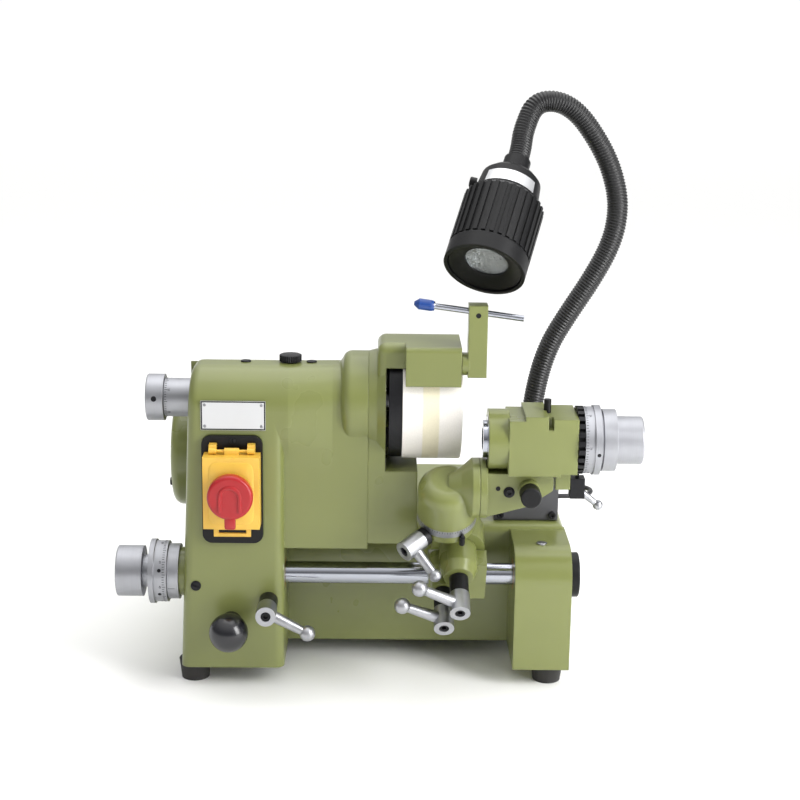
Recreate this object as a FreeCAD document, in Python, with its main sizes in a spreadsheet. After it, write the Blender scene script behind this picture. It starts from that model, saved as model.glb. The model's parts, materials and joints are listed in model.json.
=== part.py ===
import FreeCAD, Part
import math
import os
import re

import Sketcher

# Small universal tool and cutter grinder, millimetres, +Z up, +X to the operator's right.
# X stations are measured from the seam between spindle barrel and wheel head,
# Y stations from the front plane of the column, Z from the bench.
SIZES = {
    # Datums and fits
    "seam_x": -4.25,
    "front_y": -105.8,
    "running_gap": 0.05,
    "turning_gap": 0.3,
    # Column and spindle barrel
    "foot_height": 17.0,
    "column_left_low": 160.0,
    "column_left_high": 149.5,
    "column_right": 71.0,
    "column_depth": 80.0,
    "column_top": 32.0,
    "crown_radius": 33.0,
    "corner_radius": 8.0,
    "recess_depth": 10.0,
    "barrel_bottom": 10.0,
    "barrel_radius": 30.0,
    "barrel_proud": 1.0,
    "barrel_flush": 4.0,
    "barrel_neck": 30.0,
    "blend_length": 48.0,
    "collar_radius": 42.0,
    "collar_length": 14.0,
    "flare_length": 34.0,
    "flare_foot": 30.0,
    "flare_start": 31.0,
    "flare_radius": 50.0,
    "casting_wall": 11.0,
    # Base box and right foot
    "base_wall": 66.0,
    "base_back": 262.0,
    "base_left": 156.0,
    "base_right": 176.0,
    "base_top": 128.0,
    "base_round": 9.0,
    "foot_left": 127.0,
    "foot_round": 28.0,
    "pad_radius": 14.0,
    "pad_inset_left": 10.0,
    "pad_inset_right": 17.0,
    "pad_inset_deep": 22.0,
    # Spindle line
    "spindle_back": 43.5,
    "spindle_height": 247.0,
    "quill_radius": 27.0,
    "quill_left": 104.0,
    "quill_right": 14.0,
    "quill_travel": 2.5,
    "bearing_radius": 20.0,
    "bearing_width": 14.0,
    "spindle_radius": 10.0,
    "spindle_left": 136.5,
    "spindle_right": 70.0,
    "pulley_width": 16.0,
    "spindle_pulley_radius": 18.0,
    # Wheel and hood
    "flange_start": 17.3,
    "flange_radius": 49.0,
    "wheel_start": 28.5,
    "wheel_width": 50.0,
    "wheel_radius": 50.0,
    "wheel_web": 20.0,
    "wheel_rim": 12.0,
    "wheel_room": 2.6,
    "nut_radius": 15.0,
    "nut_length": 12.0,
    "head_wall": 14.6,
    "head_reach": 42.0,
    "head_back": 86.0,
    "hood_lip": 24.0,
    "hood_top": 56.5,
    "hood_front": 10.0,
    "hood_front_start": 30.6,
    "hood_right": 76.5,
    "hood_back": 100.0,
    "hood_tail": 42.0,
    "hood_round": 56.4,
    # Motor and belt
    "motor_back": 130.0,
    "motor_height": 176.0,
    "motor_radius": 47.0,
    "motor_wall": 4.0,
    "motor_length": 126.0,
    "motor_bore": 30.0,
    "motor_clear": 0.9,
    "stator_radius": 28.5,
    "stator_length": 70.0,
    "rotor_radius": 28.0,
    "shaft_radius": 8.0,
    "motor_pulley_radius": 33.5,
    "drive_left": 155.0,
    "drive_right": 107.0,
    "drive_radius": 52.0,
    "chamber_left": 140.0,
    "chamber_room": 8.0,
    "belt_thickness": 2.0,
    "belt_width": 11.0,
    "cover_radius": 50.0,
    "cover_depth": 22.0,
    # Wheel feed knob
    "feed_boss_end": 152.0,
    "feed_boss_radius": 17.5,
    "feed_sleeve_length": 22.0,
    "feed_sleeve_radius": 16.5,
    "feed_knob_length": 15.0,
    "feed_knob_radius": 20.0,
    "feed_shank_radius": 6.0,
    # Slide bar and its feed dial
    "bar_back": 28.0,
    "bar_height": 95.0,
    "bar_diameter": 19.0,
    "bush_radius": 14.0,
    "bar_boss_end": 162.0,
    "bar_boss_radius": 21.0,
    "bar_left": 150.0,
    "bar_right": 172.0,
    "cap_radius": 19.5,
    "cap_thickness": 8.0,
    "dial_sleeve_length": 9.5,
    "dial_sleeve_radius": 24.0,
    "thimble_length": 11.0,
    "thimble_radius": 26.5,
    "dial_flange_radius": 28.0,
    "dial_flange_length": 4.5,
    "dial_neck_length": 6.5,
    "dial_neck_radius": 14.0,
    "dial_knob_length": 22.5,
    "dial_knob_radius": 22.0,
    "feed_screw_radius": 5.0,
    # Carriage on the bar, in the frame that rocks about the bar
    "saddle_station": 77.5,
    "rock_angle": 29.0,
    "saddle_width": 49.0,
    "saddle_radius": 21.0,
    "knuckle_height": 35.0,
    "knuckle_radius": 23.0,
    "knuckle_bolt_radius": 6.0,
    "saddle_head_radius": 16.0,
    "saddle_drop": 9.0,
    "saddle_front": 26.0,
    "knuckle_front": 4.0,
    "knuckle_back": 22.0,
    "knuckle_hub_radius": 12.0,
    "knuckle_boss_length": 10.0,
    "knuckle_boss_radius": 12.5,
    "saddle_lever_side": 12.5,
    "saddle_lever_height": 14.0,
    "saddle_boss_length": 12.0,
    "saddle_boss_radius": 10.5,
    "swivel_side": 10.8,
    "pedestal_radius": 20.0,
    "swivel_flange_height": 66.0,
    "swivel_flange_radius": 24.5,
    "swivel_ring_height": 73.0,
    "swivel_ring_thickness": 7.0,
    "swivel_ring_radius": 25.0,
    "swivel_pin_radius": 8.0,
    "dome_radius": 25.2,
    "dome_top": 116.0,
    "dome_round": 13.0,
    "tilt_height": 108.0,
    "tilt_flange_start": 8.5,
    "tilt_flange_thickness": 6.0,
    "tilt_flange_radius": 25.0,
    "tilt_neck_radius": 17.0,
    # Work head, in its own upright frame on the tilt axis
    "head_rise": 42.0,
    "block_size": 50.0,
    "block_start": 36.5,
    "block_length": 56.0,
    "block_step": 3.8,
    "block_step_length": 13.0,
    "block_relief": 2.0,
    "block_slot_width": 4.2,
    "block_slot_depth": 11.0,
    "nose_collar_radius": 25.0,
    "nose_collar_length": 16.0,
    "nose_radius": 15.5,
    "nose_length": 4.0,
    "collet_bore_radius": 9.0,
    "collet_bore_length": 40.0,
    "work_spindle_radius": 19.0,
    "bracket_width": 34.0,
    "bracket_length": 53.5,
    "bracket_drop": 20.0,
    "bracket_tip": 14.0,
    "index_disc_radius": 28.0,
    "index_disc_thickness": 5.5,
    "notch_count": 24,
    "notch_depth": 4.0,
    "notch_width": 3.2,
    "work_dial_radius": 27.5,
    "work_dial_length": 8.0,
    "work_rim_radius": 28.8,
    "work_rim_length": 5.5,
    "work_groove": 2.0,
    "work_ring_radius": 25.5,
    "work_ring_length": 11.0,
    "draw_knob_radius": 19.7,
    "draw_knob_length": 22.5,
    # Clamp levers
    "lever_hub_radius": 8.5,
    "lever_hub_length": 20.0,
    "socket_radius": 4.2,
    "socket_depth": 5.0,
    "lever_sleeve_radius": 8.0,
    "lever_sleeve_length": 18.0,
    "lever_stud_radius": 4.0,
    "lever_stud_depth": 12.0,
    "lever_arm_length": 39.0,
    "lever_root_radius": 5.2,
    "lever_tip_radius": 3.6,
    "lever_ball_radius": 6.7,
    "swivel_lever_height": 68.0,
    "swivel_arm_length": 31.0,
    "swivel_ball_radius": 5.5,
    # Dresser
    "dresser_back": -1.0,
    "dresser_height": 42.0,
    "dresser_pin_radius": 6.0,
    "dresser_boss_radius": 9.5,
    "dresser_boss_length": 5.0,
    "dresser_post_width": 15.5,
    "dresser_arm_depth": 17.0,
    "dresser_arm_foot": 20.0,
    "dresser_arm_top": 50.0,
    "dresser_rod_height": 43.5,
    "dresser_rod_radius": 2.6,
    "dresser_rod_left": 36.0,
    "dresser_rod_right": 38.0,
    "dresser_rod_slope": 7.5,
    "dresser_tip_length": 17.0,
    "dresser_tip_radius": 4.6,
    # Switch on the column
    "plate_left": 139.0,
    "plate_width": 51.0,
    "plate_low": 115.0,
    "plate_height": 94.0,
    "plate_thickness": 4.0,
    "plate_round": 8.0,
    "switch_left": 136.5,
    "switch_width": 47.0,
    "switch_low": 97.0,
    "switch_height": 62.0,
    "switch_depth": 7.0,
    "flap_depth": 10.0,
    "flap_wall": 2.5,
    "hinge_rise": 3.0,
    "hinge_radius": 2.6,
    "hinge_pin_radius": 1.2,
    "hinge_lug_width": 6.2,
    "hinge_lug_side": 16.0,
    "hinge_lug_height": 9.0,
    "hinge_barrel_length": 12.0,
    "latch_drop": 9.0,
    "mushroom_radius": 19.0,
    "mushroom_height": 66.0,
    "mushroom_depth": 8.0,
    "mushroom_lift": 6.0,
    "mushroom_stem_radius": 3.5,
    "button_radius": 8.0,
    "button_spacing": 26.0,
    "window_margin": 2.0,
    "rating_left": 139.5,
    "rating_width": 54.0,
    "rating_low": 49.0,
    "rating_height": 25.0,
    # Small hardware on the casting
    "bar_lever_station": 84.0,
    "bar_lever_height": 79.0,
    "plunger_station": 116.0,
    "plunger_height": 60.0,
    "plunger_radius": 5.0,
    "plunger_neck": 12.0,
    "ball_radius": 16.5,
    "lock_screw_station": 67.0,
    "lock_screw_radius": 4.0,
    "lock_head_radius": 9.5,
    "screw_radius": 4.5,
    "screw_height": 1.2,
    # Lamp
    "bracket_left": 113.0,
    "sheet_width": 57.0,
    "sheet_depth": 44.0,
    "sheet_height": 40.0,
    "sheet_thickness": 3.0,
    "neck_station": 143.0,
    "neck_back": 97.0,
    "neck_nut_radius": 14.0,
    "neck_nut_height": 16.0,
    "hose_radius": 9.2,
    "hose_groove": 1.4,
    "hose_bore": 5.5,
    "rib_count": 60,
    "lamp_collar_radius": 11.5,
    "lamp_collar_length": 15.0,
    "lamp_shoulder_radius": 27.5,
    "lamp_shoulder_length": 29.0,
    "shroud_radius": 32.8,
    "shroud_length": 70.0,
    "shroud_wall": 3.0,
    "shroud_rib_count": 30,
    "shroud_rib_height": 1.4,
    "reflector_radius": 26.5,
    "reflector_depth": 26.0,
    "lamp_knob_radius": 4.5,
    "lamp_knob_length": 6.0,
    "lead_radius": 2.1,
    "gland_radius": 6.0,
    "mains_bore": 4.0,
    "mains_station": 60.0,
    "mains_height": 50.0,
}

doc = FreeCAD.newDocument("cutter_grinder")
sheet = doc.addObject("Spreadsheet::Sheet", "sizes")
for row, (alias, value) in enumerate(SIZES.items(), start=1):
    sheet.set(f"A{row}", alias)
    sheet.set(f"B{row}", str(value))
    sheet.setAlias(f"B{row}", alias)
doc.recompute()

ALIAS = re.compile(r"\b(" + "|".join(SIZES) + r")\b")
NODES = []

# Ways that a turned piece, drawn along its own X axis, can point
RIGHT = ("1; 0; 0", 0)
LEFT = ("0; 0; 1", 180)
FRONT = ("0; 0; 1", -90)
BACK = ("0; 0; 1", 90)
UP = ("0; 1; 0", -90)
DOWN = ("0; 1; 0", 90)

# Lines and frames that many pieces share
BAR_Y = "(front_y + bar_back)"
SPINDLE_Y = "(front_y + spindle_back)"
MOTOR_Y = "(front_y + motor_back)"
BAR_RADIUS = "(bar_diameter / 2)"
BLOCK_END = "(block_start + block_length)"
PULLEY_LEFT = "(seam_x - spindle_left)"

# Heights that are set from the spindle line
COLUMN_TOP = "(spindle_height + column_top)"
BARREL_BOTTOM = "(spindle_height - barrel_bottom)"
HOOD_LIP = "(spindle_height + hood_lip)"
HOOD_TOP = "(spindle_height + hood_top)"
HOOD_TAIL = "(spindle_height - hood_tail)"
DRESSER_LINE = "(spindle_height + dresser_height)"
PLATE_LOW = "(spindle_height - plate_low)"
SWITCH_LOW = "(spindle_height - switch_low)"
MUSHROOM_LINE = "(spindle_height - mushroom_height)"


def formula(text):
    return ALIAS.sub(r"sizes.\1", str(text))


def number(text):
    result = sheet.evalExpression(formula(text))
    return float(getattr(result, "Value", result))


def bind(thing, **sizes):
    for name, text in sizes.items():
        thing.setExpression(name, formula(text))


def at(x, y, z, way=RIGHT):
    axis, angle = way
    return f"placement(vector({x}; {y}; {z}); rotation(vector({axis}); {angle}))"


def seat(thing, *places):
    thing.setExpression("Placement", formula(" * ".join(places)))
    return thing


CARRIAGE = at("seam_x + saddle_station", BAR_Y, "bar_height", ("1; 0; 0", "rock_angle"))
HEAD = CARRIAGE + " * " + at(0, 0, "tilt_height", ("1; 0; 0", "-rock_angle"))


def node(name, thing):
    thing.Label = name
    NODES.append(thing)
    return thing


def sketch_in(body, plane, corners, offset=None):
    """Closed outline whose corners are held by two bound distances each.

    A corner with a third value, a radius, starts an arc instead of a straight edge; a fourth value
    of "back" turns that arc the other way.
    """
    sketch = body.newObject("Sketcher::SketchObject", body.Name + "_outline")
    support = [part for part in body.Origin.OriginFeatures if part.Role == plane]
    sketch.AttachmentSupport = [(support[0], "")]
    sketch.MapMode = "FlatFace"
    if offset is not None:
        sketch.setExpression("AttachmentOffset.Base.z", formula(offset))
    points = [FreeCAD.Vector(number(corner[0]), number(corner[1]), 0) for corner in corners]
    count = len(points)
    first = [2 if corner[-1] == "back" else 1 for corner in corners]
    for index, corner in enumerate(corners):
        ends = [points[index], points[(index + 1) % count]]
        if len(corner) == 2:
            sketch.addGeometry(Part.LineSegment(*ends), False)
        else:
            start, end = ends if first[index] == 1 else reversed(ends)
            sketch.addGeometry(arc_between(start, end, number(corner[2])), False)
    for index in range(count):
        after = (index + 1) % count
        sketch.addConstraint(Sketcher.Constraint("Coincident", index, 3 - first[index], after, first[after]))
    for index, corner in enumerate(corners):
        for kind, text in zip(("DistanceX", "DistanceY"), corner):
            held = sketch.addConstraint(Sketcher.Constraint(kind, -1, 1, index, first[index], number(text)))
            sketch.setExpression(f"Constraints[{held}]", formula(text))
        if len(corner) > 2:
            held = sketch.addConstraint(Sketcher.Constraint("Radius", index, number(corner[2])))
            sketch.setExpression(f"Constraints[{held}]", formula(corner[2]))
    return sketch


def arc_between(start, end, radius):
    """Arc of under a half circle that turns left from start to end."""
    half = (end - start) * 0.5
    side = FreeCAD.Vector(-half.y, half.x, 0).normalize()
    middle = start + half + side * (radius ** 2 - half.Length ** 2) ** 0.5
    turns = [math.atan2(point.y - middle.y, point.x - middle.x) for point in (start, end)]
    circle = Part.Circle(middle, FreeCAD.Vector(0, 0, 1), radius)
    return Part.ArcOfCircle(circle, *turns)


def turned(name, corners):
    """Body turned about its own X axis from (station, radius) corners."""
    body = doc.addObject("PartDesign::Body", name)
    sketch = sketch_in(body, "XZ_Plane", corners)
    turn = body.newObject("PartDesign::Revolution", name + "_turn")
    turn.Profile = sketch
    turn.ReferenceAxis = (sketch, ["H_Axis"])
    turn.Angle = 360
    doc.recompute()
    return body


def ring(name, start, end, bore, radius):
    return turned(name, [(start, bore), (start, radius), (end, radius), (end, bore)])


def padded(name, plane, corners, length):
    """Outline padded along +X, +Y or +Z, whichever is square to its plane."""
    body = doc.addObject("PartDesign::Body", name)
    sketch = sketch_in(body, plane, corners)
    pad = body.newObject("PartDesign::Pad", name + "_pad")
    pad.Profile = sketch
    pad.Reversed = plane == "XZ_Plane"
    bind(pad, Length=length)
    doc.recompute()
    return body


def lofted(name, plane, *sections):
    """Body through outlines of as many corners, each at its own distance from the plane."""
    body = doc.addObject("PartDesign::Body", name)
    outlines = [sketch_in(body, plane, corners, offset) for offset, corners in sections]
    loft = body.newObject("PartDesign::AdditiveLoft", name + "_loft")
    loft.Profile = outlines[0]
    loft.Sections = outlines[1:]
    loft.Ruled = True
    doc.recompute()
    return body


def soften(body, radius, pick):
    """Round the edges of a body that the pick function chooses."""
    base = body.Tip
    chosen = [f"Edge{index}" for index, edge in enumerate(base.Shape.Edges, 1) if pick(edge)]
    fillet = body.newObject("PartDesign::Fillet", body.Name + "_round")
    fillet.Base = (base, chosen)
    bind(fillet, Radius=radius)
    doc.recompute()
    return body


def rim(station, radius):
    """Pick the circular edge of a turned body at one station and radius."""
    x = number(station)
    r = number(radius)

    def pick(edge):
        curve = edge.Curve
        round_edge = isinstance(curve, Part.Circle)
        return round_edge and abs(curve.Center.x - x) < 1e-4 and abs(curve.Radius - r) < 1e-4

    return pick


def straight(way, **places):
    """Pick straight edges along one axis whose middle lies at the given places."""
    wanted = {name: number(text) for name, text in places.items()}

    def pick(edge):
        if not isinstance(edge.Curve, Part.Line):
            return False
        run = edge.Vertexes[-1].Point - edge.Vertexes[0].Point
        along = abs(getattr(run, way)) > 0.999 * run.Length
        middle = edge.CenterOfMass
        return along and all(abs(getattr(middle, name) - value) < 1e-4 for name, value in wanted.items())

    return pick


def either(*picks):
    return lambda edge: any(pick(edge) for pick in picks)


def box(name, low, size):
    block = doc.addObject("Part::Box", name)
    bind(block, Length=size[0], Width=size[1], Height=size[2])
    return seat(block, at(*low))


def drill(name, radius, length, start, way=RIGHT):
    """Plain cylinder from a start point along one of the named ways."""
    hole = doc.addObject("Part::Cylinder", name)
    bind(hole, Radius=radius, Height=length)
    return seat(hole, at(*start, way), at(0, 0, 0, ("0; 1; 0", 90)))


def fused(name, *parts):
    whole = doc.addObject("Part::MultiFuse", name)
    whole.Shapes = list(parts)
    whole.Refine = True
    return whole


def cut(name, base, *tools):
    result = doc.addObject("Part::Cut", name)
    result.Base = base
    result.Tool = tools[0] if len(tools) == 1 else fused(name + "_tools", *tools)
    return result


def common(name, base, tool):
    result = doc.addObject("Part::Common", name)
    result.Base = base
    result.Tool = tool
    return result


def grouped(name, *parts):
    """Separate like pieces that share one node."""
    group = doc.addObject("Part::Compound", name)
    group.Links = list(parts)
    return group


# Casting and its fixed pieces


def column_body():
    column = padded("column", "XZ_Plane", [
        ("seam_x - column_left_low", "foot_height"),
        ("seam_x - column_right", "foot_height"),
        ("seam_x - column_right", COLUMN_TOP),
        ("seam_x - column_left_high", COLUMN_TOP),
    ], "column_depth")
    soften(column, "crown_radius", straight("x", z=COLUMN_TOP))
    left = number("seam_x - column_left_high") + 0.5
    low = number("foot_height") + 0.5
    soften(column, "corner_radius",
           lambda edge: edge.BoundBox.XMax < left and edge.BoundBox.ZMax > low)
    soften(column, "corner_radius", straight("z", x="seam_x - column_right", y=0))
    return seat(column, at(0, "front_y", 0))


def barrel_outline(front, crown):
    """Section of barrel and web, whose front falls back to the web in two arcs."""
    fall = f"(recess_depth - ({front}))"
    swing = f"({fall} * {fall} + blend_length * blend_length) / (4 * {fall})"
    return [
        ("recess_depth", "base_top - 5"),
        ("column_depth", "base_top - 5"),
        ("column_depth", f"{COLUMN_TOP} - {crown}", crown),
        (f"column_depth - {crown}", COLUMN_TOP),
        (f"{front} + {crown}", COLUMN_TOP, crown),
        (front, f"{COLUMN_TOP} - {crown}"),
        (front, BARREL_BOTTOM, swing),
        (f"recess_depth - {fall} / 2", f"{BARREL_BOTTOM} - blend_length / 2", swing, "back"),
        ("recess_depth", f"{BARREL_BOTTOM} - blend_length"),
    ]


def barrel_body():
    """Barrel that leaves the column flush and narrows before the wheel head."""
    flush = barrel_outline("0", "crown_radius")
    narrow = barrel_outline("recess_depth - barrel_proud", "barrel_radius")
    root = padded("barrel_root", "YZ_Plane", flush, "20 + barrel_flush")
    seat(root, at("seam_x - column_right - 20", "front_y", 0))
    taper = lofted("barrel_taper", "YZ_Plane", ("0", flush),
                   ("column_right - barrel_flush - barrel_neck", narrow))
    seat(taper, at("seam_x - column_right + barrel_flush", "front_y", 0))
    neck = padded("barrel_end", "YZ_Plane", narrow, "barrel_neck")
    seat(neck, at("seam_x - barrel_neck", "front_y", 0))
    return root, taper, neck


def base_box_body():
    base = padded("base_box", "XY_Plane", [
        ("seam_x - base_left", "front_y + base_wall"),
        ("seam_x + base_right", "front_y + base_wall"),
        ("seam_x + base_right", "front_y + base_back"),
        ("seam_x - base_left", "front_y + base_back"),
    ], "base_top - foot_height")
    soften(base, "base_round", straight("z", y="front_y + base_back"))
    top = number("base_top - foot_height")
    soften(base, "base_round", lambda edge: edge.BoundBox.ZMin > top - 1e-3)
    return seat(base, at(0, 0, "foot_height"))


def right_foot_body():
    foot = padded("right_foot", "YZ_Plane", [
        (0, "foot_height"),
        ("base_wall + base_round", "foot_height"),
        ("base_wall + base_round", "bar_height + foot_round"),
        (0, "bar_height + foot_round"),
    ], "base_right - foot_left")
    soften(foot, "foot_round", straight("x", y=0, z="bar_height + foot_round"))
    return seat(foot, at("seam_x + foot_left", "front_y", 0))


def base_casting():
    column = column_body()
    rise = "(collar_radius - flare_start)"
    run = "(flare_foot - collar_length)"
    swing = f"({rise} * {rise} + {run} * {run}) / (4 * {rise})"
    collar = turned("barrel_collar", [
        ("-flare_length", 0),
        ("-flare_length", "flare_start"),
        ("-flare_foot", "flare_start", swing),
        (f"-collar_length - {run} / 2", f"flare_start + {rise} / 2", swing, "back"),
        ("-collar_length", "collar_radius"),
        (0, "collar_radius"),
        (0, 0),
    ])
    seat(collar, at("seam_x", SPINDLE_Y, "spindle_height"))
    drive = drill("drive_housing", "drive_radius", "drive_left - drive_right",
                  ("seam_x - drive_left", MOTOR_Y, "motor_height"))
    bridge = padded("drive_bridge", "YZ_Plane", [
        ("column_depth - 10", "base_top - 5"),
        ("motor_back", "base_top - 5"),
        ("motor_back + drive_radius * cos(58)", "motor_height + drive_radius * sin(58)"),
        ("column_depth - 10", f"{COLUMN_TOP} - 6"),
    ], "drive_left - drive_right")
    seat(bridge, at("seam_x - drive_left", "front_y", 0))
    feed_boss = drill("feed_boss", "feed_boss_radius", "casting_wall",
                      ("seam_x - feed_boss_end", SPINDLE_Y, "spindle_height"))
    bar_boss = drill("bar_boss", "bar_boss_radius", "casting_wall",
                     ("seam_x - bar_boss_end", BAR_Y, "bar_height"))
    solid = fused("casting_solid", column, *barrel_body(), base_box_body(), right_foot_body(),
                  collar, drive, bridge, feed_boss, bar_boss)
    return node("base_casting", cut("casting", solid, motor_pocket("base_pocket"), *casting_hollows(),
                                    *casting_holes()))


def motor_pocket(name):
    """Room that the castings leave round the motor."""
    return drill(name, "motor_radius + motor_clear", "motor_length + 2 * motor_wall + motor_clear",
                 ("seam_x - drive_right", MOTOR_Y, "motor_height"))


def casting_hollows():
    base_room = box("base_room",
                    ("seam_x - base_left + casting_wall", "front_y + base_wall + casting_wall",
                     "foot_height - 1"),
                    ("base_left + base_right - 2 * casting_wall",
                     "base_back - base_wall - 2 * casting_wall",
                     "base_top - foot_height - casting_wall + 1"))
    column_room = box("column_room",
                      ("seam_x - column_left_high + casting_wall", "front_y + casting_wall",
                       "foot_height - 1"),
                      ("column_left_high - column_right - 2 * casting_wall",
                       "base_wall", f"{PLATE_LOW} + plate_height - foot_height - casting_wall"))
    motor_room = drill("motor_room", "motor_pulley_radius + chamber_room",
                       "drive_left - drive_right - casting_wall + 1",
                       ("seam_x - drive_left - 1", MOTOR_Y, "motor_height"))
    belt_room = doc.addObject("Part::Feature", "belt_room")
    belt_room.Shape = belt_prism(number("chamber_room"), number("chamber_left - drive_right - casting_wall"))
    seat(belt_room, at("seam_x - chamber_left", "front_y", 0))
    return base_room, column_room, motor_room, belt_room


def casting_holes():
    quill_bore = drill("quill_bore", "quill_radius + running_gap", "quill_left + quill_travel + 1",
                       ("seam_x - quill_left - quill_travel", SPINDLE_Y, "spindle_height"))
    spindle_hole = drill("spindle_hole", "spindle_radius + 2", "drive_right + casting_wall - quill_left + 2",
                         ("seam_x - drive_right - casting_wall - 1", SPINDLE_Y, "spindle_height"))
    feed_hole = drill("feed_hole", "feed_shank_radius + running_gap", "feed_boss_end - chamber_left + 2",
                      ("seam_x - feed_boss_end - 1", SPINDLE_Y, "spindle_height"))
    motor_hole = drill("motor_hole", "motor_bore", "casting_wall + 2",
                       ("seam_x - drive_right - casting_wall - 1", MOTOR_Y, "motor_height"))
    bar_left = drill("bar_hole_left", "bush_radius", "bar_boss_end - column_right + 2",
                     ("seam_x - bar_boss_end - 1", BAR_Y, "bar_height"))
    bar_right = drill("bar_hole_right", "bush_radius", "base_right - foot_left + 2",
                      ("seam_x + foot_left - 1", BAR_Y, "bar_height"))
    lever_hole = drill("bar_lever_hole", "lever_stud_radius + running_gap", "lever_stud_depth + 1",
                       ("seam_x - bar_lever_station", "front_y + lever_stud_depth", "bar_lever_height"),
                       FRONT)
    plunger_hole = drill("plunger_hole", "plunger_radius + running_gap", "casting_wall + 2",
                         ("seam_x - plunger_station", "front_y + casting_wall + 1", "plunger_height"),
                         FRONT)
    lock_hole = drill("lock_hole", "lock_screw_radius + running_gap", "column_top",
                      ("seam_x - lock_screw_station", SPINDLE_Y, "spindle_height + 1"), UP)
    mains_hole = drill("mains_hole", "mains_bore", "casting_wall + 2",
                       ("seam_x - base_left + mains_station", "front_y + base_back - casting_wall - 1",
                        "foot_height + mains_height"), BACK)
    window = box("switch_window", (WINDOW_LEFT, "front_y - 1", WINDOW_LOW),
                 (WINDOW_WIDTH, "casting_wall + 2", WINDOW_HEIGHT))
    return (quill_bore, spindle_hole, feed_hole, motor_hole, bar_left, bar_right, lever_hole, plunger_hole,
            lock_hole, mains_hole, window)


def wheel_head_casting():
    """Wheel head bolted to the barrel, with the hood arched over the wheel."""
    block = padded("head_block", "XZ_Plane", [
        (0, "base_top"),
        ("head_reach", "base_top"),
        ("head_reach", "spindle_height - wheel_radius - wheel_room - 2"),
        ("head_wall", "spindle_height - wheel_radius - wheel_room - 2"),
        ("head_wall", "spindle_height"),
        (0, "spindle_height"),
    ], "head_back - recess_depth")
    soften(block, "corner_radius", straight("y", x="head_reach", z="base_top"))
    seat(block, at("seam_x", "front_y + recess_depth", 0))
    collar = turned("head_collar", [
        (0, "quill_radius - 2"),
        (0, "collar_radius"),
        ("head_wall * 0.5", "collar_radius + 2"),
        ("head_wall", "flare_radius"),
        ("head_wall", "quill_radius - 2"),
    ])
    seat(collar, at("seam_x", SPINDLE_Y, "spindle_height"))
    arch = padded("hood_arch", "YZ_Plane", [
        ("hood_front / 2", HOOD_LIP),
        ("hood_front / 2", HOOD_TOP),
        ("hood_back", HOOD_TOP),
        ("hood_back", HOOD_TAIL),
    ], "hood_right - head_wall / 2")
    soften(arch, "hood_round", straight("x", y="hood_back", z=HOOD_TOP))
    soften(arch, "corner_radius", straight("x", y="hood_front / 2", z=HOOD_TOP))
    brow_height = number(HOOD_LIP) + 1
    soften(arch, "corner_radius * 0.9",
           lambda edge: edge.BoundBox.XMax < 0.01 and edge.BoundBox.ZMax > brow_height)
    seat(arch, at("seam_x + head_wall / 2", "front_y", 0))
    brow = padded("hood_brow", "YZ_Plane", [
        ("-hood_front", HOOD_LIP),
        ("hood_front", HOOD_LIP),
        ("hood_front * 3", HOOD_TOP),
        ("-hood_front", HOOD_TOP),
    ], "hood_right - hood_front_start")
    soften(brow, "corner_radius / 2", straight("x", y="-hood_front", z=HOOD_TOP))
    seat(brow, at("seam_x + hood_front_start", "front_y", 0))
    solid = fused("head_solid", block, collar, arch, brow)
    room = drill("wheel_room", "wheel_radius + wheel_room", "hood_right",
                 ("seam_x + head_wall", SPINDLE_Y, "spindle_height"))
    bore = drill("head_bore", "quill_radius + running_gap", "head_wall + 2",
                 ("seam_x - 1", SPINDLE_Y, "spindle_height"))
    pin = drill("dresser_pin_hole", "dresser_pin_radius + running_gap", "dresser_pin_radius * 2 + 1",
                ("seam_x + hood_right - dresser_pin_radius * 2", "front_y + dresser_back", DRESSER_LINE))
    return node("wheel_head_casting", cut("wheel_head", solid, room, bore, pin, motor_pocket("head_pocket")))


def rubber_feet():
    lefts = ("seam_x - column_left_low + pad_inset_left", "seam_x + base_right - pad_inset_right")
    backs = ("front_y + pad_inset_deep", "front_y + base_back - pad_inset_deep")
    feet = []
    for x in lefts:
        for y in backs:
            foot = turned(f"foot_{len(feet)}", [
                (0, 0),
                (0, "pad_radius - 2"),
                ("foot_height", "pad_radius"),
                ("foot_height", 0),
            ])
            feet.append(seat(foot, at(x, y, 0, UP)))
    return node("rubber_feet", grouped("feet", *feet))


def bar_bushes():
    bore = f"{BAR_RADIUS} + running_gap"
    left = ring("left_bush", 0, "bar_boss_end - column_left_high + casting_wall", bore, "bush_radius")
    seat(left, at("seam_x - bar_boss_end", BAR_Y, "bar_height"))
    middle = ring("middle_bush", 0, "casting_wall", bore, "bush_radius")
    seat(middle, at("seam_x - column_right - casting_wall", BAR_Y, "bar_height"))
    right = ring("right_bush", 0, "base_right - foot_left", bore, "bush_radius")
    seat(right, at("seam_x + foot_left", BAR_Y, "bar_height"))
    return node("bar_bushes", grouped("bushes", left, middle, right))


def bar_end_cap():
    cap = turned("end_cap", [
        (0, "cap_radius - 6"),
        (0, "cap_radius"),
        ("cap_thickness", "cap_radius"),
        ("cap_thickness", 0),
        ("cap_thickness - 2", 0),
        ("cap_thickness - 2", "cap_radius - 6"),
    ])
    soften(cap, 1.5, rim("cap_thickness", "cap_radius"))
    return node("bar_end_cap", seat(cap, at("seam_x + base_right", BAR_Y, "bar_height")))


def belt_cover():
    cover = turned("cover", [
        (0, "motor_pulley_radius + chamber_room - 2"),
        (0, "cover_radius"),
        ("cover_depth", "cover_radius"),
        ("cover_depth", 0),
        ("cover_depth - 3", 0),
        ("cover_depth - 3", "motor_pulley_radius + chamber_room - 2"),
    ])
    soften(cover, "corner_radius", rim("cover_depth", "cover_radius"))
    return node("belt_cover", seat(cover, at("seam_x - drive_left", MOTOR_Y, "motor_height", LEFT)))


# Motor and belt drive


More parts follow.
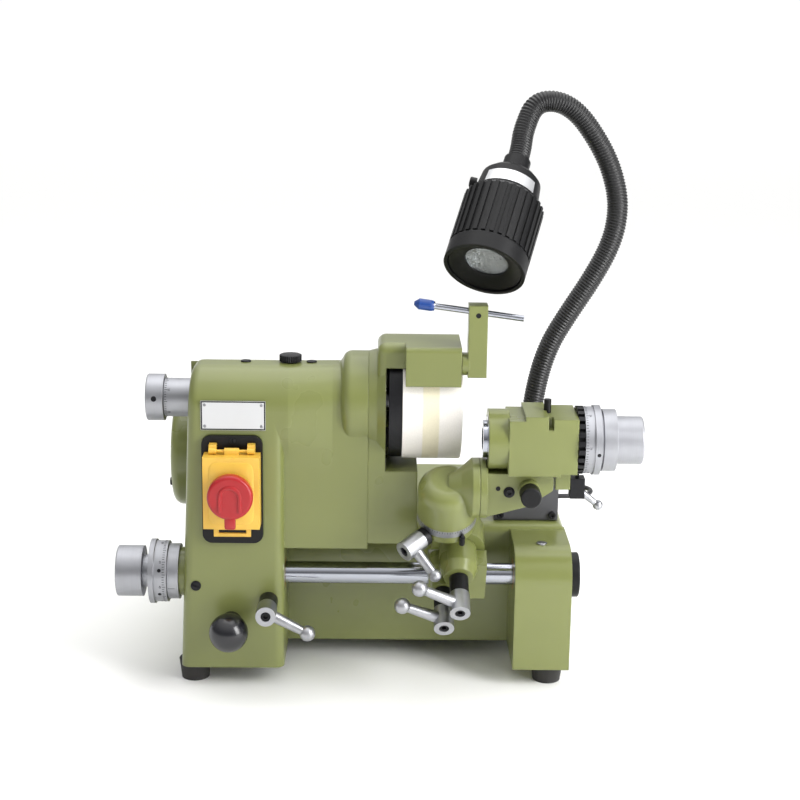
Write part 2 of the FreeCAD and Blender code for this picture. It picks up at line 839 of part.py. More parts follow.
def motor_pieces():
    """Stations run to the right from the face of the drive housing."""
    inner = "motor_radius - motor_wall"
    housing = turned("motor_shell", [
        ("-casting_wall", "motor_bore - 8"),
        ("-casting_wall", "motor_bore"),
        (0, "motor_bore"),
        (0, "motor_radius"),
        ("motor_length", "motor_radius"),
        ("motor_length + motor_wall * 2", "motor_radius - motor_wall * 2"),
        ("motor_length + motor_wall * 2", 0),
        ("motor_length + motor_wall", 0),
        ("motor_length + motor_wall", "shaft_radius + running_gap"),
        ("motor_length - motor_wall", "shaft_radius + running_gap"),
        ("motor_length - motor_wall", inner),
        ("motor_wall * 2", inner),
        ("motor_wall * 2", "shaft_radius + running_gap"),
        ("-motor_wall", "shaft_radius + running_gap"),
        ("-motor_wall", "motor_bore - 8"),
    ])
    middle = "(motor_length / 2)"
    stator = ring("stator_core", f"{middle} - stator_length / 2", f"{middle} + stator_length / 2",
                  "stator_radius", inner)
    rotor = turned("rotor_core", [
        ("-drive_left + drive_right + casting_wall", 0),
        ("-drive_left + drive_right + casting_wall", "shaft_radius"),
        (f"{middle} - stator_length / 2", "shaft_radius"),
        (f"{middle} - stator_length / 2", "rotor_radius"),
        (f"{middle} + stator_length / 2", "rotor_radius"),
        (f"{middle} + stator_length / 2", "shaft_radius"),
        ("motor_length + motor_wall - turning_gap", "shaft_radius"),
        ("motor_length + motor_wall - turning_gap", 0),
    ])
    for piece in (housing, stator, rotor):
        seat(piece, at("seam_x - drive_right", MOTOR_Y, "motor_height"))
    large = pulley("large_pulley", "motor_pulley_radius", "shaft_radius")
    seat(large, at(PULLEY_LEFT, MOTOR_Y, "motor_height"))
    node("motor_housing", housing)
    node("motor_stator", stator)
    node("motor_rotor", grouped("rotor_and_pulley", rotor, large))


def pulley(name, radius, bore):
    """Flat pulley with a lip at each side."""
    return turned(name, [
        (0, bore),
        (0, f"{radius} + 2"),
        (2, f"{radius} + 2"),
        (2, radius),
        ("pulley_width - 2", radius),
        ("pulley_width - 2", f"{radius} + 2"),
        ("pulley_width", f"{radius} + 2"),
        ("pulley_width", bore),
    ])


def belt_loop(centre_a, radius_a, centre_b, radius_b):
    """Face bounded by two arcs and the two outer tangents of two circles in the YZ plane."""
    run = centre_b - centre_a
    across = FreeCAD.Vector(0, -run.z, run.y).normalize()
    along = FreeCAD.Vector(run).normalize()
    lean = (radius_a - radius_b) / run.Length
    spread = math.sqrt(1 - lean * lean)
    normals = [along * lean + across * spread, along * lean - across * spread]
    top_a, low_a = [centre_a + normal * radius_a for normal in normals]
    top_b, low_b = [centre_b + normal * radius_b for normal in normals]
    edges = [
        Part.LineSegment(top_a, top_b).toShape(),
        Part.Arc(top_b, centre_b + along * radius_b, low_b).toShape(),
        Part.LineSegment(low_b, low_a).toShape(),
        Part.Arc(low_a, centre_a - along * radius_a, top_a).toShape(),
    ]
    return Part.Face(Part.Wire(edges))


def belt_prism(room, width):
    """Solid round both pulleys, the given room larger than they are."""
    spindle = FreeCAD.Vector(0, number("spindle_back"), number("spindle_height"))
    motor = FreeCAD.Vector(0, number("motor_back"), number("motor_height"))
    face = belt_loop(spindle, number("spindle_pulley_radius") + room,
                     motor, number("motor_pulley_radius") + room)
    return face.extrude(FreeCAD.Vector(width, 0, 0))


def drive_belt():
    inner = number("turning_gap")
    outer = inner + number("belt_thickness")
    width = number("belt_width")
    belt = doc.addObject("Part::Feature", "belt")
    belt.Shape = belt_prism(outer, width).cut(belt_prism(inner, width))
    seat(belt, at(f"{PULLEY_LEFT} + (pulley_width - belt_width) / 2", "front_y", 0))
    return node("drive_belt", belt)


# Quill, spindle and wheel


def quill():
    """Sleeve with a bearing seat at each end."""
    sleeve = turned("quill_sleeve", [
        ("-quill_left", "bearing_radius"),
        ("-quill_left", "quill_radius"),
        ("quill_right", "quill_radius"),
        ("quill_right", "bearing_radius"),
        ("quill_right - bearing_width", "bearing_radius"),
        ("quill_right - bearing_width", "spindle_radius + 3"),
        ("bearing_width - quill_left", "spindle_radius + 3"),
        ("bearing_width - quill_left", "bearing_radius"),
    ])
    node("quill", seat(sleeve, at("seam_x", SPINDLE_Y, "spindle_height")))
    bearings = []
    for index, start in enumerate(("-quill_left", "quill_right - bearing_width")):
        bearing = ring(f"bearing_{index}", 0, "bearing_width", "spindle_radius", "bearing_radius")
        bearings.append(seat(bearing, at(f"seam_x + {start}", SPINDLE_Y, "spindle_height")))
    node("spindle_bearings", grouped("bearings", *bearings))


def spindle_pieces():
    journal = "spindle_radius - running_gap"
    shaft = turned("shaft", [
        ("-spindle_left", 0),
        ("-spindle_left", "spindle_radius - 2"),
        ("pulley_width - spindle_left", "spindle_radius - 2"),
        ("pulley_width - spindle_left", journal),
        ("spindle_right", journal),
        ("spindle_right", 0),
    ])
    flange = ring("flange", "flange_start", "wheel_start", journal, "flange_radius")
    wheel = turned("cup_wheel", [
        ("wheel_start", journal),
        ("wheel_start", "wheel_radius"),
        ("wheel_start + wheel_width", "wheel_radius"),
        ("wheel_start + wheel_width", "wheel_radius - wheel_rim"),
        ("wheel_start + wheel_web", "wheel_radius - wheel_rim"),
        ("wheel_start + wheel_web", journal),
    ])
    soften(wheel, 1.5, rim("wheel_start + wheel_width", "wheel_radius"))
    nut = ring("nut", "wheel_start + wheel_web", "wheel_start + wheel_web + nut_length", journal,
               "nut_radius")
    for piece in (shaft, flange, wheel, nut):
        seat(piece, at("seam_x", SPINDLE_Y, "spindle_height"))
    small = ring("small_pulley", 0, "pulley_width", "spindle_radius - 2", "spindle_pulley_radius")
    seat(small, at(PULLEY_LEFT, SPINDLE_Y, "spindle_height"))
    node("wheel_spindle", grouped("shaft_and_pulley", shaft, small))
    node("wheel_clamp", grouped("flange_and_nut", flange, nut))
    node("grinding_wheel", wheel)


def wheel_feed_knob():
    """Stations run to the left from the boss on the column."""
    sleeve = ring("feed_sleeve", 0, "feed_sleeve_length", "feed_shank_radius + running_gap",
                  "feed_sleeve_radius")
    node("wheel_feed_sleeve", seat(sleeve, at("seam_x - feed_boss_end", SPINDLE_Y, "spindle_height", LEFT)))
    start = "feed_sleeve_length + turning_gap"
    knob = turned("feed_knob", [
        ("chamber_left - feed_boss_end - 0.5", 0),
        ("chamber_left - feed_boss_end - 0.5", "feed_shank_radius"),
        (start, "feed_shank_radius"),
        (start, "feed_knob_radius"),
        (f"{start} + feed_knob_length", "feed_knob_radius"),
        (f"{start} + feed_knob_length", 0),
    ])
    soften(knob, 1.2, rim(f"{start} + feed_knob_length", "feed_knob_radius"))
    node("wheel_feed_knob", seat(knob, at("seam_x - feed_boss_end", SPINDLE_Y, "spindle_height", LEFT)))


def quill_lock_screw():
    """Knurled thumb screw that stops just above the quill."""
    low = "quill_radius + turning_gap"
    high = "column_top"
    screw = turned("lock_screw", [
        (low, 0),
        (low, "lock_screw_radius"),
        (f"{high} + 1", "lock_screw_radius"),
        (f"{high} + 1", "lock_head_radius"),
        (f"{high} + 7", "lock_head_radius"),
        (f"{high} + 7", 0),
    ])
    soften(screw, 1.2, rim(f"{high} + 7", "lock_head_radius"))
    return node("quill_lock_screw", seat(screw, at("seam_x - lock_screw_station", SPINDLE_Y,
                                                   "spindle_height", UP)))


# Slide bar and its feed


def feed_dial():
    """Stations run to the left from the bar boss on the column."""
    place = at("seam_x - bar_boss_end", BAR_Y, "bar_height", LEFT)
    sleeve = ring("dial_ring", 0, "dial_sleeve_length", "dial_neck_radius", "dial_sleeve_radius")
    node("dial_sleeve", seat(sleeve, place))
    start = "(dial_sleeve_length + turning_gap)"
    flange = f"({start} + thimble_length)"
    neck = f"({flange} + dial_flange_length)"
    knob = f"({neck} + dial_neck_length)"
    bore = "feed_screw_radius + running_gap"
    dial = turned("dial", [
        (start, bore),
        (start, "thimble_radius"),
        (flange, "thimble_radius"),
        (flange, "dial_flange_radius"),
        (neck, "dial_flange_radius"),
        (neck, "dial_neck_radius"),
        (knob, "dial_neck_radius"),
        (knob, "dial_knob_radius"),
        (f"{knob} + dial_knob_length", "dial_knob_radius"),
        (f"{knob} + dial_knob_length", 0),
        (f"{knob} + dial_knob_length - 6", 0),
        (f"{knob} + dial_knob_length - 6", bore),
    ])
    soften(dial, 1.2, rim(f"{knob} + dial_knob_length", "dial_knob_radius"))
    node("feed_dial", seat(dial, place))
    reach = f"({knob} + dial_knob_length - 14)"
    screw = turned("feed_spindle", [
        ("bar_left - bar_boss_end + turning_gap", 0),
        ("bar_left - bar_boss_end + turning_gap", f"{BAR_RADIUS} - 0.5"),
        (0, f"{BAR_RADIUS} - 0.5"),
        (0, "feed_screw_radius"),
        (reach, "feed_screw_radius"),
        (reach, 0),
    ])
    node("feed_screw", seat(screw, place))


def slide_bar():
    bar = turned("bar", [
        ("-bar_left", 0),
        ("-bar_left", f"{BAR_RADIUS} - 1"),
        ("1 - bar_left", BAR_RADIUS),
        ("bar_right - 1", BAR_RADIUS),
        ("bar_right", f"{BAR_RADIUS} - 1"),
        ("bar_right", 0),
    ])
    return node("slide_bar", seat(bar, at("seam_x", BAR_Y, "bar_height")))


# Clamp levers: stud, black sleeve, hub and ball-ended arm


def clamp_lever(name, reach, *places, arm_length="lever_arm_length", ball_radius="lever_ball_radius"):
    """Lever along its own X axis from its seat, its arm square to it at the far end."""
    hub = turned(name + "_hub", [
        ("-lever_stud_depth", 0),
        ("-lever_stud_depth", "lever_stud_radius"),
        ("turning_gap", "lever_stud_radius"),
        ("turning_gap", "lever_sleeve_radius"),
        (f"{reach} - lever_hub_length", "lever_sleeve_radius"),
        (f"{reach} - lever_hub_length", "lever_hub_radius"),
        (reach, "lever_hub_radius"),
        (reach, 0),
    ])
    arm = doc.addObject("Part::Cone", name + "_arm")
    bind(arm, Radius1="lever_root_radius", Radius2="lever_tip_radius", Height=arm_length)
    middle = f"{reach} - lever_hub_length / 2"
    seat(arm, at(middle, 0, 0))
    ball = doc.addObject("Part::Sphere", name + "_ball")
    bind(ball, Radius=ball_radius)
    seat(ball, at(middle, 0, arm_length))
    socket = drill(name + "_socket", "socket_radius", "socket_depth + 1", (f"{reach} - socket_depth", 0, 0))
    solid = fused(name + "_solid", hub, arm, ball)
    return node(name, seat(cut(name + "_whole", solid, socket), *places))


def clamp_levers():
    clamp_lever("bar_lock_lever", "lever_sleeve_length + lever_hub_length",
                at("seam_x - bar_lever_station", "front_y", "bar_lever_height", FRONT),
                at(0, 0, 0, ("1; 0; 0", -118)))
    clamp_lever("knuckle_lever", "lever_sleeve_length + lever_hub_length", CARRIAGE,
                at(0, "-saddle_front - knuckle_boss_length", "knuckle_height", FRONT),
                at(0, 0, 0, ("1; 0; 0", 60)))
    clamp_lever("saddle_lever", "lever_sleeve_length + lever_hub_length + 2", CARRIAGE,
                at("-saddle_lever_side", "-saddle_radius - saddle_boss_length", "saddle_lever_height", FRONT),
                at(0, 0, 0, ("1; 0; 0", 64)))
    clamp_lever("swivel_lever", "lever_hub_length + 6", CARRIAGE,
                at("-swivel_side", 0, "swivel_lever_height", ("0; 0; 1", -135)),
                at("swivel_ring_radius", 0, 0, ("1; 0; 0", 240)),
                arm_length="swivel_arm_length", ball_radius="swivel_ball_radius")


def stop_plunger():
    """Ball-headed plunger that stops the rocking bar."""
    plunger = turned("plunger", [
        ("-casting_wall", 0),
        ("-casting_wall", "plunger_radius"),
        ("turning_gap", "plunger_radius"),
        ("turning_gap", "plunger_radius + 4"),
        ("plunger_neck", "plunger_radius + 4"),
        ("plunger_neck", 0),
    ])
    ball = doc.addObject("Part::Sphere", "plunger_ball")
    bind(ball, Radius="ball_radius")
    seat(ball, at("plunger_neck + ball_radius - 2", 0, 0))
    whole = fused("plunger_whole", plunger, ball)
    return node("stop_plunger", seat(whole, at("seam_x - plunger_station", "front_y", "plunger_height",
                                               FRONT)))


# Carriage: saddle, knuckle and swivel dome


def saddle():
    clamp = drill("saddle_clamp", "saddle_radius", "saddle_width", ("-saddle_width / 2", 0, 0))
    cheek = padded("saddle_cheek", "XZ_Plane", [
        ("-saddle_width / 2", "-saddle_drop"),
        ("saddle_width / 2", "-saddle_drop"),
        ("saddle_width / 2", "knuckle_height"),
        ("-saddle_width / 2", "knuckle_height"),
    ], "saddle_radius - knuckle_front")
    soften(cheek, "corner_radius", straight("y", x="-saddle_width / 2"))
    seat(cheek, at(0, "-saddle_radius", 0))
    head = drill("saddle_head", "saddle_head_radius", "saddle_front - knuckle_front",
                 (0, "-knuckle_front", "knuckle_height"), FRONT)
    boss = turned("knuckle_boss", [
        (0, 0),
        (0, "saddle_head_radius"),
        ("knuckle_boss_length", "knuckle_boss_radius"),
        ("knuckle_boss_length", 0),
    ])
    seat(boss, at(0, "-saddle_front", "knuckle_height", FRONT))
    lug = drill("saddle_boss", "saddle_boss_radius", "saddle_radius + saddle_boss_length",
                ("-saddle_lever_side", 0, "saddle_lever_height"), FRONT)
    solid = fused("saddle_solid", clamp, cheek, head, boss, lug)
    bar_hole = drill("saddle_bore", f"{BAR_RADIUS} + running_gap", "saddle_width + 2",
                     ("-saddle_width / 2 - 1", 0, 0))
    bolt_hole = drill("bolt_hole", "knuckle_bolt_radius + running_gap", "saddle_front - knuckle_front + 1",
                      (0, "1 - knuckle_front", "knuckle_height"), FRONT)
    knuckle_stud = drill("knuckle_stud_hole", "lever_stud_radius + running_gap",
                         "knuckle_boss_length + lever_stud_depth",
                         (0, "-saddle_front - knuckle_boss_length - 1", "knuckle_height"), BACK)
    saddle_stud = drill("saddle_stud_hole", "lever_stud_radius + running_gap", "lever_stud_depth + 1",
                        ("-saddle_lever_side", "-saddle_radius - saddle_boss_length - 1",
                         "saddle_lever_height"), BACK)
    whole = cut("saddle_whole", solid, bar_hole, bolt_hole, knuckle_stud, saddle_stud)
    return node("saddle", seat(whole, CARRIAGE))


def knuckle():
    """Half disc that tilts on the saddle's bolt and carries the swivel on its back."""
    start = "(turning_gap - knuckle_front)"
    length = "knuckle_back + knuckle_front - turning_gap"
    disc = drill("knuckle_disc", "knuckle_radius", length, (0, start, "knuckle_height"), BACK)
    upper = box("knuckle_upper", ("-knuckle_radius", start, "knuckle_height"),
                ("2 * knuckle_radius", length, "knuckle_radius"))
    hub = drill("knuckle_hub", "knuckle_hub_radius", length, (0, start, "knuckle_height"), BACK)
    post = drill("pedestal_post", "pedestal_radius", "swivel_flange_height - knuckle_height - 8",
                 ("-swivel_side", 0, "knuckle_height + 8"), UP)
    behind = box("pedestal_side", ("-swivel_side - pedestal_radius", start, "knuckle_height"),
                 ("2 * pedestal_radius", "pedestal_radius + knuckle_front", "swivel_flange_height"))
    flange = drill("swivel_flange", "swivel_flange_radius", "swivel_ring_height - swivel_flange_height",
                   ("-swivel_side", 0, "swivel_flange_height"), UP)
    bolt = drill("knuckle_bolt", "knuckle_bolt_radius", "saddle_front + knuckle_front - 8",
                 (0, 0, "knuckle_height"), FRONT)
    solid = fused("knuckle_solid", common("half_disc", disc, upper), hub,
                  common("pedestal", post, behind), flange, bolt)
    pin_hole = drill("swivel_pin_hole", "swivel_pin_radius + running_gap", 22,
                     ("-swivel_side", 0, "swivel_ring_height - 21"), UP)
    stud = drill("swivel_stud_hole", "lever_stud_radius + running_gap", "lever_stud_depth + 1", (0, 0, 0))
    seat(stud, at("-swivel_side", 0, "swivel_lever_height", ("0; 0; 1", -135)),
         at("swivel_ring_radius - lever_stud_depth", 0, 0), at(0, 0, 0, ("0; 1; 0", 90)))
    node("knuckle", seat(cut("knuckle_whole", solid, pin_hole, stud), CARRIAGE))
    scale = ring("swivel_scale", "swivel_ring_height", "swivel_ring_height + swivel_ring_thickness",
                 "swivel_pin_radius + running_gap", "swivel_ring_radius")
    node("swivel_ring", seat(scale, CARRIAGE, at("-swivel_side", 0, 0, UP)))


def swivel_dome():
    """Dome on the swivel pin, with a neck flaring to the tilt flange."""
    seat_height = "swivel_ring_height + swivel_ring_thickness + turning_gap"
    dome = turned("dome", [
        ("swivel_ring_height - 20", 0),
        ("swivel_ring_height - 20", "swivel_pin_radius"),
        (seat_height, "swivel_pin_radius"),
        (seat_height, "dome_radius"),
        ("dome_top", "dome_radius"),
        ("dome_top", 0),
    ])
    soften(dome, "dome_round", rim("dome_top", "dome_radius"))
    seat(dome, at("-swivel_side", 0, 0, UP))
    neck = turned("tilt_neck", [
        ("-swivel_side", 0),
        ("-swivel_side", "tilt_neck_radius - 6"),
        ("tilt_flange_start - 9", "tilt_neck_radius"),
        ("tilt_flange_start", "tilt_flange_radius"),
        ("tilt_flange_start + tilt_flange_thickness", "tilt_flange_radius"),
        ("tilt_flange_start + tilt_flange_thickness", 0),
    ])
    seat(neck, at(0, 0, "tilt_height"))
    hole = drill("tilt_hole", "knuckle_bolt_radius + running_gap", "tilt_flange_thickness + 11",
                 ("tilt_flange_start - 10", 0, "tilt_height"))
    whole = cut("dome_whole", fused("dome_solid", dome, neck), hole)
    return node("swivel_dome", seat(whole, CARRIAGE))


# Work head on the tilt flange


TILT_FACE = "(tilt_flange_start + tilt_flange_thickness + turning_gap)"
BRACKET_TOP = "(head_rise - block_size / 2)"
PAWL_MIDDLE = f"({BLOCK_END} + turning_gap + index_disc_thickness / 2)"


def head_bracket():
    plain = drill("bracket_plain", "tilt_flange_radius", "tilt_flange_thickness", (TILT_FACE, 0, 0))
    nose_room = drill("bracket_nose_room", "nose_collar_radius + turning_gap", "nose_collar_length",
                      ("block_start - nose_collar_length - 3 * turning_gap", 0, "head_rise"))
    disc = cut("bracket_disc", plain, nose_room)
    pin = drill("tilt_pin", "knuckle_bolt_radius", "tilt_flange_thickness + 10",
                (f"{TILT_FACE} - tilt_flange_thickness - 8", 0, 0))
    start = f"({TILT_FACE} + tilt_flange_thickness)"
    arm = padded("bracket_arm", "XZ_Plane", [
        (f"{start} - 1", BRACKET_TOP),
        (f"{start} + bracket_length", BRACKET_TOP),
        (f"{start} + bracket_length", f"{BRACKET_TOP} - bracket_tip"),
        (f"{start} + bracket_length * 0.6", "-bracket_drop * 0.55"),
        (f"{start} - 1", "-bracket_drop"),
    ], "bracket_width")
    soften(arm, "corner_radius / 2", straight("y", x=f"{start} + bracket_length"))
    seat(arm, at(0, "-bracket_width / 2", 0))
    boss = drill("tilt_boss", "lever_hub_radius", 10,
                 (f"{start} + bracket_length - 20", "-bracket_width / 2", 4), FRONT)
    solid = fused("bracket_solid", disc, pin, arm, boss)
    hole = drill("tilt_stud_hole", "lever_stud_radius + running_gap", "lever_stud_depth + 1",
                 (f"{start} + bracket_length - 20", "-bracket_width / 2 - 11", 4), BACK)
    node("head_bracket", seat(cut("bracket_whole", solid, hole), HEAD))
    knob = turned("tilt_knob", [
        ("-lever_stud_depth", 0),
        ("-lever_stud_depth", "lever_stud_radius"),
        ("turning_gap", "lever_stud_radius"),
        ("turning_gap", 8.5),
        (15, 8.5),
        (15, 0),
    ])
    soften(knob, 1.5, rim(15, 8.5))
    node("tilt_clamp_knob", seat(knob, HEAD, at(f"{start} + bracket_length - 20",
                                                "-bracket_width / 2 - 10", 4, FRONT)))


def workhead_block():
    high = f"({BRACKET_TOP} + block_size)"
    slot_left = "(block_start + block_length * 0.6 - block_slot_width / 2)"
    foot = "(block_start + block_length * 0.76)"
    block = padded("head_cube", "XZ_Plane", [
        ("block_start", BRACKET_TOP),
        (foot, BRACKET_TOP),
        (foot, f"{BRACKET_TOP} + block_relief"),
        (BLOCK_END, f"{BRACKET_TOP} + block_relief"),
        (BLOCK_END, f"{high} - block_relief"),
        (slot_left, f"{high} - block_relief"),
        (slot_left, high),
        ("block_start + block_step_length", high),
        ("block_start + block_step_length", f"{high} - block_step"),
        ("block_start", f"{high} - block_step"),
    ], "block_size")
    seat(block, at(0, "-block_size / 2", 0))
    slot = box("block_slot", (slot_left, "-block_size / 2 - 1", f"{high} - block_slot_depth"),
               ("block_slot_width", "block_slot_depth", "block_slot_depth + 1"))
    collar = drill("nose_collar", "nose_collar_radius", "nose_collar_length + 1",
                   ("block_start - nose_collar_length", 0, "head_rise"))
    bore = drill("work_bore", "work_spindle_radius + running_gap", "block_length + nose_collar_length + 2",
                 ("block_start - nose_collar_length - 1", 0, "head_rise"))
    guide = box("pawl_guide", (f"{PAWL_MIDDLE} - 18.3", -7, f"{BRACKET_TOP} - 16"),
                (12, 14, "block_relief + 17"))
    pin = drill("lock_pin_hole", 3.05, "block_size / 2 - work_spindle_radius",
                ("block_start + block_length * 0.58", 0, "head_rise + work_spindle_radius + 1"), UP)
    whole = cut("workhead_whole", fused("workhead_solid", block, collar, guide), bore, pin, slot)
    return node("workhead_block", seat(whole, HEAD))


def work_spindle():
    """Spindle with the collet nose on the left and the index pieces on the right."""
    nose = "(block_start - nose_collar_length - nose_length)"
    shaft = turned("work_shaft", [
        (nose, "collet_bore_radius"),
        (nose, "nose_radius"),
        (f"{nose} + nose_length - turning_gap", "nose_radius"),
        (f"{nose} + nose_length - turning_gap", "work_spindle_radius"),
        (f"{BLOCK_END} + turning_gap", "work_spindle_radius"),
        (f"{BLOCK_END} + turning_gap", 6),
        (f"{nose} + collet_bore_length", 6),
        (f"{nose} + collet_bore_length", "collet_bore_radius"),
    ])
    place = at(0, 0, "head_rise")
    node("work_spindle", seat(shaft, HEAD, place))
    start = f"({BLOCK_END} + turning_gap)"
    node("index_disc", seat(index_disc(), HEAD, at(start, 0, "head_rise")))
    dial = f"({start} + index_disc_thickness)"
    rim_start = f"({dial} + work_dial_length)"
    groove = f"({rim_start} + work_rim_length)"
    last = f"({groove} + work_groove)"
    knob = f"({last} + work_ring_length)"
    collar = turned("work_dial_collar", [
        (dial, 6),
        (dial, "work_dial_radius"),
        (rim_start, "work_dial_radius"),
        (rim_start, "work_rim_radius"),
        (groove, "work_rim_radius"),
        (groove, "work_ring_radius - 3"),
        (last, "work_ring_radius - 3"),
        (last, "work_ring_radius"),
        (knob, "work_ring_radius"),
        (knob, 6),
    ])
    node("work_dial", seat(collar, HEAD, place))
    draw = turned("draw_handle", [
        (f"{nose} + collet_bore_length + 2", 0),
        (f"{nose} + collet_bore_length + 2", 6),
        (knob, 6),
        (knob, "draw_knob_radius"),
        (f"{knob} + draw_knob_length", "draw_knob_radius"),
        (f"{knob} + draw_knob_length", 0),
    ])
    soften(draw, 1.5, rim(f"{knob} + draw_knob_length", "draw_knob_radius"))
    node("draw_knob", seat(draw, HEAD, place))


def index_disc():
    """Disc with evenly spaced square notches round its rim."""
    plain = ring("index_plain", 0, "index_disc_thickness", 6, "index_disc_radius")
    notches = []
    for index in range(int(number("notch_count"))):
        notch = box(f"notch_{index}", (0, 0, 0), ("index_disc_thickness + 2", "notch_width",
                                                  "notch_depth + 2"))
        seat(notch, at(0, 0, 0, ("1; 0; 0", f"{index} * 360 / notch_count")),
             at(-1, "-notch_width / 2", "-index_disc_radius - 2"))
        notches.append(notch)
    return cut("notched_disc", plain, *notches)


def index_pawl():
    """Pawl below the disc, which lifts into a notch, with its ball lever."""
    rest = "(head_rise - index_disc_radius - 1)"
    body = box("pawl_body", (f"{PAWL_MIDDLE} - 6", -6, f"{rest} - 20"), (12, 12, 17))
    tooth = box("pawl_tooth", (f"{PAWL_MIDDLE} - 1.5", "-notch_width / 2 + 0.3", f"{rest} - 4"),
                (3, "notch_width - 0.6", 4))
    handle = doc.addObject("Part::Cone", "pawl_handle")
    bind(handle, Radius1=3.4, Radius2=2.4, Height=20)
    way = at(f"{PAWL_MIDDLE} + 3", 4, f"{rest} - 16", ("0; 1; 0", 128))
    seat(handle, way)
    ball = doc.addObject("Part::Sphere", "pawl_ball")
    bind(ball, Radius=4.2)
    seat(ball, way, at(0, 0, 20))
    node("index_pawl", seat(fused("pawl_whole", body, tooth, handle, ball), HEAD))


def spindle_lock_pin():
    pin = turned("lock_pin", [
        ("work_spindle_radius + 4", 0),
        ("work_spindle_radius + 4", 3),
        ("block_size / 2 + 9", 3),
        ("block_size / 2 + 9", 0),
    ])
    place = at("block_start + block_length * 0.58", 0, "head_rise", UP)
    return node("spindle_lock_pin", seat(pin, HEAD, place))


# Dresser on the hood


DRESSER = at("seam_x + hood_right", "front_y + dresser_back", DRESSER_LINE)


def dresser():
    boss = drill("dresser_boss", "dresser_boss_radius", "dresser_boss_length + 1", ("turning_gap", 0, 0))
    post = box("dresser_post", ("dresser_boss_length", "-dresser_arm_depth / 2", "-dresser_arm_foot / 2"),
               ("dresser_post_width", "dresser_arm_depth", "dresser_arm_top + dresser_arm_foot / 2"))
    pin = drill("dresser_pin", "dresser_pin_radius", "dresser_pin_radius * 2",
                ("1 - dresser_pin_radius * 2", 0, 0))
    slope = ("0; 1; 0", "dresser_rod_slope")
    middle = at("dresser_boss_length + dresser_post_width / 2", 0, "dresser_rod_height", slope)
    hole = drill("rod_hole", "dresser_rod_radius + running_gap", "4 * dresser_post_width", (0, 0, 0))
    seat(hole, middle, at("-2 * dresser_post_width", 0, 0), at(0, 0, 0, ("0; 1; 0", 90)))
    arm = cut("dresser_cut", fused("dresser_solid", boss, post, pin), hole)
    node("dresser_arm", seat(arm, DRESSER))
    rod = turned("rod", [
        ("-dresser_rod_left", 0),
        ("-dresser_rod_left", "dresser_rod_radius"),
        ("dresser_rod_right", "dresser_rod_radius"),
        ("dresser_rod_right", 0),
    ])
    tip = turned("diamond_cap", [
        (0, 0),
        (0, "dresser_tip_radius - 0.8"),
        (3, "dresser_tip_radius"),
        ("dresser_tip_length - 4", "dresser_tip_radius"),
        ("dresser_tip_length", 1.5),
        ("dresser_tip_length", 0),
    ])
    seat(tip, at("-dresser_rod_left", 0, 0, LEFT))
    node("dresser_rod", seat(fused("rod_and_cap", rod, tip), DRESSER, middle))


# Switch and rating plate on the column


def front_box(name, left, low, width, height, start, depth):
    """Block on the front of the column: depth runs forward from its start."""
    return box(name, (f"seam_x - {left}", f"front_y - {start} - ({depth})", low), (width, depth, height))


def switch_pieces():
    plate = padded("switch_backing", "XZ_Plane", [
        (0, 0),
        ("plate_width", 0),
        ("plate_width", "plate_height"),
        (0, "plate_height"),
    ], "plate_thickness")
    soften(plate, "plate_round", straight("y"))
    seat(plate, at("seam_x - plate_left", "front_y - plate_thickness", PLATE_LOW))
    opening = box("plate_window", (WINDOW_LEFT, "front_y - plate_thickness - 1", WINDOW_LOW),
                  (WINDOW_WIDTH, "plate_thickness + 2", WINDOW_HEIGHT))
    node("switch_plate", cut("plate_cut", plate, opening))
    body = front_box("switch_case", "switch_left", SWITCH_LOW, "switch_width", "switch_height",
                     "plate_thickness", "switch_depth")
    back = box("switch_insert", (WINDOW_LEFT, "front_y - plate_thickness", WINDOW_LOW),
               (WINDOW_WIDTH, "plate_thickness + casting_wall + 12", WINDOW_HEIGHT))
    holes = [drill(f"button_hole_{index}", "button_radius + running_gap", "switch_depth + 11",
                   (BUTTON_X, "front_y + 10 - plate_thickness", height), FRONT)
             for index, height in enumerate(BUTTON_HEIGHTS)]
    lugs = []
    for index, side in enumerate(("-hinge_lug_side", "hinge_lug_side")):
        left = f"{BUTTON_X} + {side} - hinge_lug_width / 2"
        lugs.append(box(f"hinge_lug_{index}",
                        (left, "front_y - plate_thickness - switch_depth", f"{HINGE_HEIGHT} - 4"),
                        ("hinge_lug_width", "switch_depth", "hinge_lug_height")))
        lugs.append(drill(f"hinge_eye_{index}", "hinge_radius", "hinge_lug_width",
                          (left, f"front_y - {FLAP_START}", HINGE_HEIGHT)))
    pin = drill("hinge_pin_hole", "hinge_pin_radius + running_gap", "switch_width",
                (f"{BUTTON_X} - switch_width / 2", f"front_y - {FLAP_START}", HINGE_HEIGHT))
    node("switch_body", cut("switch_cut", fused("switch_solid", body, back, *lugs), *holes, pin))
    for name, height in zip(("stop_button", "start_button"), BUTTON_HEIGHTS):
        button = turned(name + "_cap", [
            (-5, 0),
            (-5, "button_radius"),
            ("switch_depth + 4", "button_radius"),
            ("switch_depth + 4", 0),
        ])
        node(name, seat(button, at(BUTTON_X, "front_y - plate_thickness", height, FRONT)))


BUTTON_X = "(seam_x - switch_left + switch_width / 2)"
BUTTON_HEIGHTS = (f"({SWITCH_LOW} + switch_height / 2 - button_spacing / 2)",
                  f"({SWITCH_LOW} + switch_height / 2 + button_spacing / 2)")
FLAP_START = "(plate_thickness + switch_depth + turning_gap)"
HINGE_HEIGHT = f"({SWITCH_LOW} + switch_height + hinge_rise)"
WINDOW_LEFT = f"({BUTTON_X} - button_radius - window_margin)"
WINDOW_LOW = f"({BUTTON_HEIGHTS[0]} - button_radius - window_margin)"
WINDOW_WIDTH = "(2 * button_radius + 2 * window_margin)"
WINDOW_HEIGHT = "(button_spacing + 2 * button_radius + 2 * window_margin)"


